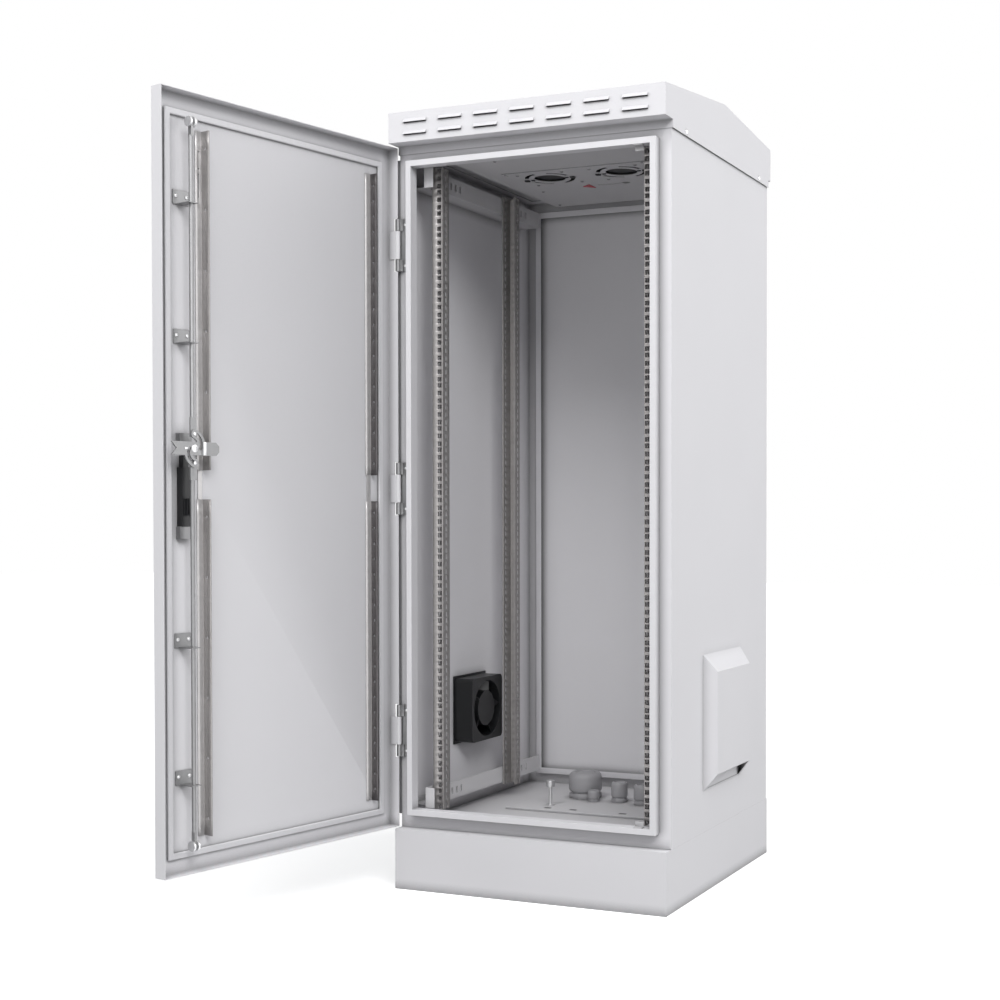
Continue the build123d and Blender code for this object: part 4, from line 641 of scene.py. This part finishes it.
def thickened(piece, sheet):
    """Gives a thin sheet its thickness, half to each side."""
    solid = piece.modifiers.new("Sheet", "SOLIDIFY")
    solid.thickness = sheet * MM
    solid.offset = 0.0
    solid.use_even_offset = True


class CABINET_OT_finishes(bpy.types.Operator):
    """Gives every carried-over node its finish"""
    bl_idname = "cabinet.finishes"
    bl_label = "Finishes"

    def execute(self, context):
        materials = finishes(context)
        for name, nodes in NODE_FINISH.items():
            for node in nodes:
                data = frame["nodes"][node].data
                data.materials.clear()
                data.materials.append(materials[name])
        return {"FINISHED"}


class CABINET_OT_folded_sheets(bpy.types.Operator):
    """Rounds the folded edges of the sheet pieces"""
    bl_idname = "cabinet.folded_sheets"
    bl_label = "Folded sheets"

    def execute(self, context):
        sizes = context.scene.cabinet_sizes
        for node in SHEET_NODES:
            softened(node, sizes.fold_radius)
        for node in SMALL_NODES:
            softened(node, sizes.edge_radius)
        softened("door_gasket", sizes.gasket_radius, segments=5)
        softened("side_fan_housing", sizes.edge_radius, corner_radius=9 * MM)
        return {"FINISHED"}


def rack_hole_heights():
    """Middles of the square holes, three to each rack unit."""
    units = int((RAIL_HIGH - RAIL_LOW) // RACK_UNIT)
    first = (RAIL_LOW + RAIL_HIGH - (units - 1) * RACK_UNIT) / 2
    return [
        first + unit * RACK_UNIT + step * RACK_STEP for unit in range(units) for step in (-1, 0, 1)
    ]


class CABINET_OT_rack_rails(bpy.types.Operator):
    """Makes the four rack rails with square holes in their three faces"""
    bl_idname = "cabinet.rack_rails"
    bl_label = "Rack rails"

    def execute(self, context):
        half_side = context.scene.cabinet_sizes.side_hole_width / MM / 2
        # Runs 1, 5 and 10 of the path carry the holes: inner flange, face and outer flange
        holes = [
            (run, *around(z, SQUARE_HOLE / 2)) for z in rack_hole_heights() for run in (1, 5, 10)
        ]
        # Middles of the two flanges, and how far behind the face the side holes lie
        inner, outer, outer_hole = 226.0, 249.0, 27.0
        for place, face, way, inner_hole in (("front", 42.0, 1, 15.0), ("rear", 400.0, -1, 11.0)):
            path = [
                (inner, 28.0), (inner, inner_hole + half_side), (inner, inner_hole - half_side),
                (inner, 2.8), (226.5, 1.5), (227.8, 1.0), (227.8 + SQUARE_HOLE, 1.0), (247.2, 1.0),
                (248.5, 1.5), (outer, 2.8), (outer, outer_hole - half_side),
                (outer, outer_hole + half_side), (outer, 40.0),
            ]
            for side, sign in (("left", -1), ("right", 1)):
                node = f"rack_rail_{place}_{side}"
                points = [(sign * x, face + way * depth) for x, depth in path]
                bm = punched_fold(points, RAIL_LOW, RAIL_HIGH, holes)
                piece = as_piece(bm, node + "_punched", node, [node], smooth_angle=FOLD_ANGLE)
                thickened(piece, 2.0 - SHEET_SLACK)
        return {"FINISHED"}


class CABINET_OT_stiffeners(bpy.types.Operator):
    """Makes the door's stiffeners with their small holes and slots"""
    bl_idname = "cabinet.stiffeners"
    bl_label = "Door stiffeners"

    def execute(self, context):
        sizes = context.scene.cabinet_sizes
        half = sizes.stiffener_hole / MM / 2
        pitch = sizes.stiffener_pitch / MM
        sheet, end_margin, half_slot = 1.3, 15.0, 1.6
        back = DOOR_SKIN + sheet / 2
        # Each line's foot edge, foot width, depth, spacing of holes and finish of its upright,
        # which is darker than the foot that carries it as painted shade, most of all by the hinges
        for line, foot, flange, depth, spacing, upright_shade_finish in (
            ("free", 189.6, 15.0, 22.2, 3.5 * pitch, "galvanised_sheet"),
            ("hinge", -244.4, 16.0, 18.2, pitch, "dark_zinc"),
        ):
            near = foot + sheet / 2
            middle = foot + flange / 2
            upright = DOOR_SKIN + depth / 2
            # Run 1 of the path carries the foot's slots, and run 6 the upright's holes
            path = [
                (foot + flange, back), (middle + half_slot, back), (middle - half_slot, back),
                (near + 1.2, back), (near + 0.3, back + 0.3), (near, back + 1.2),
                (near, upright - half), (near, upright + half), (near, DOOR_SKIN + depth),
            ]
            for level, low, high in (("lower", 186.0, 798.75), ("upper", 851.75, 1464.5)):
                count = int((high - low - 2 * end_margin) // spacing)
                start = (low + high - count * spacing) / 2
                heights = [start + index * spacing for index in range(count + 1)]
                holes = [(6, *around(z, half)) for z in heights]
                if line == "free" and level == "upper":
                    # Two short slots and a long one near the top
                    holes += [(1, 1426.5, 1429.5), (1, 1395.5, 1398.5), (1, 1345.0, 1388.0)]
                node = f"stiffener_{line}_{level}"
                bm = punched_fold(path, low, high, holes)
                piece = as_piece(bm, node + "_punched", node, [node], smooth_angle=FOLD_ANGLE)
                # Faces turned along the door's width, the uprights, take the darker finish as
                # painted shade
                piece.data.materials.append(finishes(context)[upright_shade_finish])
                outward = (DOOR_PLACE.to_3x3() @ Vector((1.0, 0.0, 0.0))).normalized()
                for polygon in piece.data.polygons:
                    polygon.material_index = int(abs(polygon.normal @ outward) > 0.9)
                thickened(piece, sheet - SHEET_SLACK)
        return {"FINISHED"}


class CABINET_OT_fan_plate(bpy.types.Operator):
    """Makes the plate under the roof fans with its slots, clips, cable slit and screws"""
    bl_idname = "cabinet.fan_plate"
    bl_label = "Fan plate"

    def execute(self, context):
        under = FAN_PLATE_UNDER
        outlines = [rectangle((-164.0, 164.0), (190.0, 390.0))]
        clips = bmesh.new()
        screws = bmesh.new()
        # Radii of the opening under each fan and of the curved slots round it, and their reach
        opening, slot_inner, slot_outer, slot_sweep = 34.0, 45.5, 54.5, 58.0
        # How far from the fan's middle the clips, their tongues and the fan's screws lie
        clip, tongue, screw = 54.0, 40.0, 52.5
        y = 264.0
        for x in (-84.0, 84.0):
            outlines.append(ring(x, y, opening, 48))
            for corner in (45.0, 135.0, 225.0, 315.0):
                start = corner - slot_sweep / 2
                outer = ring(x, y, slot_outer, 14, start, slot_sweep)
                inner = ring(x, y, slot_inner, 14, start, slot_sweep)
                outlines.append(outer + inner[::-1])
            for side in (-1, 1):
                block, blade = around(x + side * clip, 5.0), around(x + side * tongue, 4.0)
                cuboid(clips, block, around(y, 5.0), (under - 3.0, under), 0.8)
                cuboid(clips, blade, around(y, 2.0), (under - 2.0, under), 0.6)
                for way in (-1, 1):
                    spot = (x + side * screw, y + way * screw, under)
                    pan_screw(screws, spot, (0, 0, -1), radius=3.4)
        # The cable slit runs into a round hole
        slit_end = ring(52.0, 365.0, 9.0, 24, -158.0, 316.0)
        outlines.append(
            [(-15.0, 361.6), (43.0, 361.6)] + slit_end + [(43.0, 368.4), (-15.0, 368.4)]
        )
        # A small spare hole near one corner
        outlines.append(ring(-158.0, 206.0, 2.4, 16))
        plate = punched_plate(outlines, under, CEILING_Z)
        as_piece(plate, "fan_plate_punched", "fan_plate", ["fan_plate"])
        for x in (-158.0, 158.0):
            for y in (196.0, 384.0):
                pan_screw(screws, (x, y, under), (0, 0, -1), radius=2.8)
        as_piece(clips, "fan_guard_clips", "fan_plate", finish="black_abs")
        as_piece(screws, "fan_plate_screws", "fan_plate", finish="zinc_plate")
        return {"FINISHED"}


class CABINET_OT_glands(bpy.types.Operator):
    """Makes the cable glands with their caps, threads, nuts and lock nuts"""
    bl_idname = "cabinet.glands"
    bl_label = "Cable glands"

    def execute(self, context):
        # Place in plan, width and height above the plate of each gland
        groups = {
            "gland_large": [(-75.0, 430.0, 75.0, 59.0)],
            "gland_small": [(-38.0, 393.0, 27.0, 25.0)],
            "glands_medium": [(18.0, 408.0, 37.0, 45.0), (78.5, 394.0, 37.0, 45.0)],
        }
        for node, glands in groups.items():
            bm = bmesh.new()
            for x, y, width, height in glands:
                half = width / 2
                across = 0.86 * width
                foot = (x, y, FLOOR_TOP)
                cap = [
                    (0.0, 0.0), (0.86 * half, 0.0), (0.86 * half, 0.24 * height),
                    (0.96 * half, 0.28 * height), (half, 0.34 * height), (half, 0.78 * height),
                    (0.97 * half, 0.88 * height), (0.88 * half, 0.96 * height),
                    (0.76 * half, height), (0.62 * half, height), (0.58 * half, 0.95 * height),
                    (0.0, 0.95 * height),
                ]
                turned(bm, cap, foot, steps=48)
                thread = [(0.0, -0.24 * height), (0.66 * half, -0.24 * height)]
                for turn in range(6):
                    level = (-0.22 + 0.2 * turn / 6) * height
                    thread += [(0.66 * half, level), (0.71 * half, level + 0.016 * height)]
                thread += [(0.71 * half, 0.0), (0.0, 0.0)]
                turned(bm, thread, foot)
                six_sided(bm, foot, (0, 0, 1), across, 0.2 * height, chamfer=0.8)
                # The lock nut is under the plate, which is 2 mm thick
                under = (x, y, FLOOR_TOP - 2.0)
                six_sided(bm, under, (0, 0, -1), across, 0.14 * height, chamfer=0.8)
            as_piece(bm, node + "_turned", node, [node])
        return {"FINISHED"}


class CABINET_OT_floor_details(bpy.types.Operator):
    """Adds black fills in the gland plate's slots, painted shade for their depth, and the lip on
    its front edge
    """
    bl_idname = "cabinet.floor_details"
    bl_label = "Gland plate details"

    def execute(self, context):
        # Black fills just under the top of the slots are painted shade inside them
        slot_shade_fills = bmesh.new()
        for x in (-98.5, -37.5, 79.5):
            outline = oblong(x, 280.0, length=16.4, width=11.4)
            merge(slot_shade_fills, punched_plate([outline], FLOOR_TOP - 1.6, FLOOR_TOP - 0.2))
        as_piece(slot_shade_fills, "gland_plate_slot_shade", "gland_plate", finish="black_abs")
        lip = bmesh.new()
        cuboid(lip, around(0.0, 182.0), (242.4, 244.6), (FLOOR_TOP - 0.2, FLOOR_TOP + 2.6), 0.5)
        as_piece(lip, "gland_plate_lip", "gland_plate", finish="powder_coat")
        return {"FINISHED"}


class CABINET_OT_fasteners(bpy.types.Operator):
    """Makes the rail, panel, guide, hinge and ceiling screws"""
    bl_idname = "cabinet.fasteners"
    bl_label = "Fasteners"

    def execute(self, context):
        radius = context.scene.cabinet_sizes.screw_radius / MM
        rail = bmesh.new()
        for z in (181.0, 1468.5):
            for y in (56.0, 386.0):
                for side in (-1, 1):
                    six_sided(rail, (side * 252.0, y, z), (side, 0, 0), across=8.6, height=3.0)
        as_piece(rail, "rail_bolts", "rail_screws", ["rail_screws"])
        panel = bmesh.new()
        for z in (205.5, 821.5, 1439.5):
            for side in (-1, 1):
                pan_screw(panel, (side * 247.0, 600.0, z), (0, 1, 0), radius=5.0, height=3.0)
        for y in (70.0, 530.0):
            for side in (-1, 1):
                pan_screw(panel, (side * 303.4, y, 1519.0), (side, 0, 0), radius=5.0, height=3.0)
        as_piece(panel, "panel_pan_screws", "panel_screws", ["panel_screws"])
        guide = bmesh.new()
        for z in (298.0, 545.0, 1090.0, 1338.0):
            for side in (-1, 1):
                spot = (LOCK_X + side * 12.0, DOOR_SKIN + 2.0, z + 2.0)
                pan_screw(guide, spot, (0, 1, 0), radius=3.6, height=2.2)
        as_piece(guide, "guide_pan_screws", "guide_screws", ["guide_screws"])
        ceiling = bmesh.new()
        corners = [(x, y) for y in (45.0, 540.0) for x in (-190.0, 190.0)]
        for x, y in (*corners, (-121.0, 77.0)):
            pan_screw(ceiling, (x, y, CEILING_Z), (0, 0, -1), radius)
        as_piece(ceiling, "ceiling_screws", "ceiling_tray", finish="zinc_plate")
        hinges = bmesh.new()
        for middle in (324.0, 825.25, 1326.5):
            for step in (-42.0, 42.0):
                spot = (-288.6, -2.0, middle + step)
                pan_screw(hinges, spot, (0, -1, 0), radius=2.6, height=0.7)
        as_piece(hinges, "hinge_screws", "hinge_bracket_middle", finish="bright_steel")
        return {"FINISHED"}


class CABINET_OT_marker(bpy.types.Operator):
    """Makes the arrow film under the fan plate"""
    bl_idname = "cabinet.marker"
    bl_label = "Marker arrow"

    def execute(self, context):
        outline = [(-52.0, 367.0), (-30.0, 351.0), (-29.5, 387.0)]
        film = punched_plate([outline], FAN_PLATE_UNDER - 1.0, FAN_PLATE_UNDER)
        as_piece(film, "marker_film", "marker_arrow", ["marker_arrow"])
        return {"FINISHED"}


class CABINET_OT_hinge_lip(bpy.types.Operator):
    """Adds the drip lip that closes the gap behind the open door's hinges"""
    bl_idname = "cabinet.hinge_lip"
    bl_label = "Hinge side lip"

    def execute(self, context):
        lip = bmesh.new()
        cuboid(lip, x=(-309.0, -299.6), y=(2.2, 3.7), z=(150.0, 1502.5), radius=0.4)
        as_piece(lip, "hinge_side_lip", "body_shell")
        return {"FINISHED"}


class CABINET_OT_lock(bpy.types.Operator):
    """Adds the washer, stop and pin on the lock's cam and the heads of the rods' pins"""
    bl_idname = "cabinet.lock"
    bl_label = "Lock details"

    def execute(self, context):
        screw = {"direction": (0, 1, 0), "radius": 3.6, "height": 2.2}
        turning = bmesh.new()
        washer = [(0.0, 1.6), (5.0, 1.6), (6.8, 0.9), (7.2, 0.0), (0.0, 0.0)]
        turned(turning, washer, (LOCK_X, CAM_FACE, LOCK_Z), (0, 1, 0), steps=40)
        pan_screw(turning, (LOCK_X, CAM_FACE + 1.4, LOCK_Z), **screw)
        # Pin and stop keep clear of the rods' pin heads through the whole quarter turn
        cuboid(
            turning, x=(LOCK_X + 16.2, LOCK_X + 23.0), y=(CAM_FACE, CAM_FACE + 1.2),
            z=around(LOCK_Z, 2.0), radius=0.5,
        )
        as_piece(turning, "cam_washer_and_pin", "lock_cam", finish="bright_steel")
        stop = bmesh.new()
        cuboid(
            stop, x=(LOCK_X - 23.5, LOCK_X - 16.2), y=(CAM_FACE, CAM_FACE + 4.0),
            z=around(LOCK_Z, 12.0), radius=0.8,
        )
        as_piece(stop, "cam_stop", "lock_cam", finish="bright_steel")
        for way, node in ((1, "rod_upper"), (-1, "rod_lower")):
            head = bmesh.new()
            pan_screw(head, (LOCK_X, CAM_FACE, LOCK_Z + way * 26.0), **screw)
            as_piece(head, node + "_pin_head", node, finish="bright_steel")
        return {"FINISHED"}


class CABINET_OT_stage(bpy.types.Operator):
    """Makes the floor, the lamps, the world and the camera"""
    bl_idname = "cabinet.stage"
    bl_label = "Studio"

    def execute(self, context):
        make_floor(context)
        make_world(context)
        make_lamps()
        make_camera(context)
        return {"FINISHED"}


def seen_rays(tree):
    """Socket that is one for the rays that show the background, to the camera or in metal."""
    path = add(tree, "ShaderNodeLightPath")
    seen = path.outputs["Is Camera Ray"]
    for other in ("Is Glossy Ray", "Is Transmission Ray"):
        larger = add(tree, "ShaderNodeMath", operation="MAXIMUM")
        tree.links.new(seen, larger.inputs[0])
        tree.links.new(path.outputs[other], larger.inputs[1])
        seen = larger.outputs[0]
    return seen


def make_floor(context):
    """Plain pale floor that keeps the cabinet's shadow."""
    bm = bmesh.new()
    bmesh.ops.create_grid(bm, x_segments=1, y_segments=1, size=14.0)
    mesh = bpy.data.meshes.new("floor")
    bm.to_mesh(mesh)
    bm.free()
    floor = bpy.data.objects.new("floor", mesh)
    context.scene.collection.objects.link(floor)
    material, tree, place = new_material("studio_floor")
    # Matt painted board, seen almost white, while it throws back little light on the cabinet
    matt = add(tree, "ShaderNodeBsdfDiffuse", Color=linear("#F7F7F7") + [1.0])
    dim = add(tree, "ShaderNodeBsdfDiffuse", Color=linear("#959595") + [1.0])
    # The glow grows away from the cabinet, so that the floor runs into the white surround
    away = add(tree, "ShaderNodeVectorMath", operation="LENGTH")
    tree.links.new(place, away.inputs[0])
    reach = add(
        tree, "ShaderNodeMapRange", [("Value", away.outputs["Value"])],
        **{"From Min": 0.6, "From Max": 4.0, "To Min": 0.50, "To Max": 1.0},
    )
    glow = add(tree, "ShaderNodeEmission", [("Strength", reach.outputs["Result"])])
    total = add(tree, "ShaderNodeAddShader")
    tree.links.new(matt.outputs[0], total.inputs[0])
    tree.links.new(glow.outputs[0], total.inputs[1])
    mix = add(tree, "ShaderNodeMixShader", [("Fac", seen_rays(tree))])
    tree.links.new(dim.outputs[0], mix.inputs[1])
    tree.links.new(total.outputs[0], mix.inputs[2])
    add(tree, "ShaderNodeOutputMaterial", [("Surface", mix.outputs[0])])
    mesh.materials.append(material)


def make_world(context):
    """White surround for the camera and a dimmer one that lights the cabinet."""
    world = bpy.data.worlds.new("studio_world")
    context.scene.world = world
    world.use_nodes = True
    tree = world.node_tree
    tree.nodes.clear()
    lit = add(tree, "ShaderNodeBackground", Color=linear("#F9FCFF") + [1.0], Strength=0.27)
    white = add(tree, "ShaderNodeBackground", Color=linear("#FFFFFF") + [1.0], Strength=1.0)
    mix = add(tree, "ShaderNodeMixShader", [("Fac", seen_rays(tree))])
    tree.links.new(lit.outputs[0], mix.inputs[1])
    tree.links.new(white.outputs[0], mix.inputs[2])
    add(tree, "ShaderNodeOutputWorld", [("Surface", mix.outputs[0])])


def area_lamp(name, place, target, width, height, watts):
    """Soft rectangular lamp turned towards a target, with its sizes in metres."""
    data = bpy.data.lights.new(name, "AREA")
    data.shape = "RECTANGLE"
    data.size = width
    data.size_y = height
    data.energy = watts
    lamp = bpy.data.objects.new(name, data)
    bpy.context.scene.collection.objects.link(lamp)
    lamp.location = place
    lamp.rotation_euler = (Vector(target) - Vector(place)).to_track_quat("-Z", "Y").to_euler()


def make_lamps():
    """Large soft lamps: high in front on the right and in the middle, at both sides, and low."""
    area_lamp("key", (3.2, -3.8, 4.4), (0.0, 0.0, 0.7), 2.5, 2.5, 172.0)
    area_lamp("side", (-3.8, -3.0, 2.6), (0.0, -0.3, 0.8), 3.5, 3.5, 30.0)
    area_lamp("front", (-0.2, -3.4, 4.6), (0.0, 0.0, 0.6), 2.0, 2.0, 90.0)
    area_lamp("right", (4.4, 1.6, 2.4), (0.3, 0.0, 0.8), 3.0, 3.0, 95.0)
    area_lamp("low", (0.8, -4.8, 0.7), (0.0, 0.0, 0.6), 2.5, 1.2, 24.0)


def make_camera(context):
    """Camera of the photograph, fitted to the cabinet's corners."""
    tilt_down, turn_left = math.radians(1.07), math.radians(22.96)
    data = bpy.data.cameras.new("camera")
    camera = bpy.data.objects.new("camera", data)
    context.scene.collection.objects.link(camera)
    data.sensor_width = 36.0
    data.lens = 56.69
    data.shift_x = -0.12
    data.shift_y = 0.045
    camera.location = (1.3902, -2.8275 - ORIGIN_Y, 0.7695)
    camera.rotation_euler = (math.radians(90) - tilt_down, 0.0, turn_left)
    context.scene.camera = camera


class CABINET_PT_panel(bpy.types.Panel):
    """Cabinet operators and their settings"""
    bl_idname = "CABINET_PT_panel"
    bl_label = "Cabinet"
    bl_space_type = "VIEW_3D"
    bl_region_type = "UI"
    bl_category = "Cabinet"

    def draw(self, context):
        for group in (context.scene.cabinet_finish, context.scene.cabinet_sizes):
            for name in group.__annotations__:
                self.layout.prop(group, name)
        for operator in OPERATORS:
            self.layout.operator(operator.bl_idname)


OPERATORS = (
    CABINET_OT_stage,
    CABINET_OT_finishes,
    CABINET_OT_folded_sheets,
    CABINET_OT_rack_rails,
    CABINET_OT_stiffeners,
    CABINET_OT_fan_plate,
    CABINET_OT_glands,
    CABINET_OT_floor_details,
    CABINET_OT_fasteners,
    CABINET_OT_marker,
    CABINET_OT_hinge_lip,
    CABINET_OT_lock,
)
CLASSES = (CabinetFinish, CabinetSizes, *OPERATORS, CABINET_PT_panel)


def register():
    """Registers the classes and hangs the cabinet's settings on the scene."""
    for item in CLASSES:
        bpy.utils.register_class(item)
    bpy.types.Scene.cabinet_finish = PointerProperty(type=CabinetFinish)
    bpy.types.Scene.cabinet_sizes = PointerProperty(type=CabinetSizes)


def unregister():
    """Takes back what register did."""
    del bpy.types.Scene.cabinet_sizes
    del bpy.types.Scene.cabinet_finish
    for item in reversed(CLASSES):
        bpy.utils.unregister_class(item)


def main():
    register()
    bpy.context.scene.view_settings.view_transform = "Standard"
    for operator in OPERATORS:
        group, name = operator.bl_idname.split(".")
        getattr(getattr(bpy.ops, group), name)()


if __name__ == "__main__":
    main()
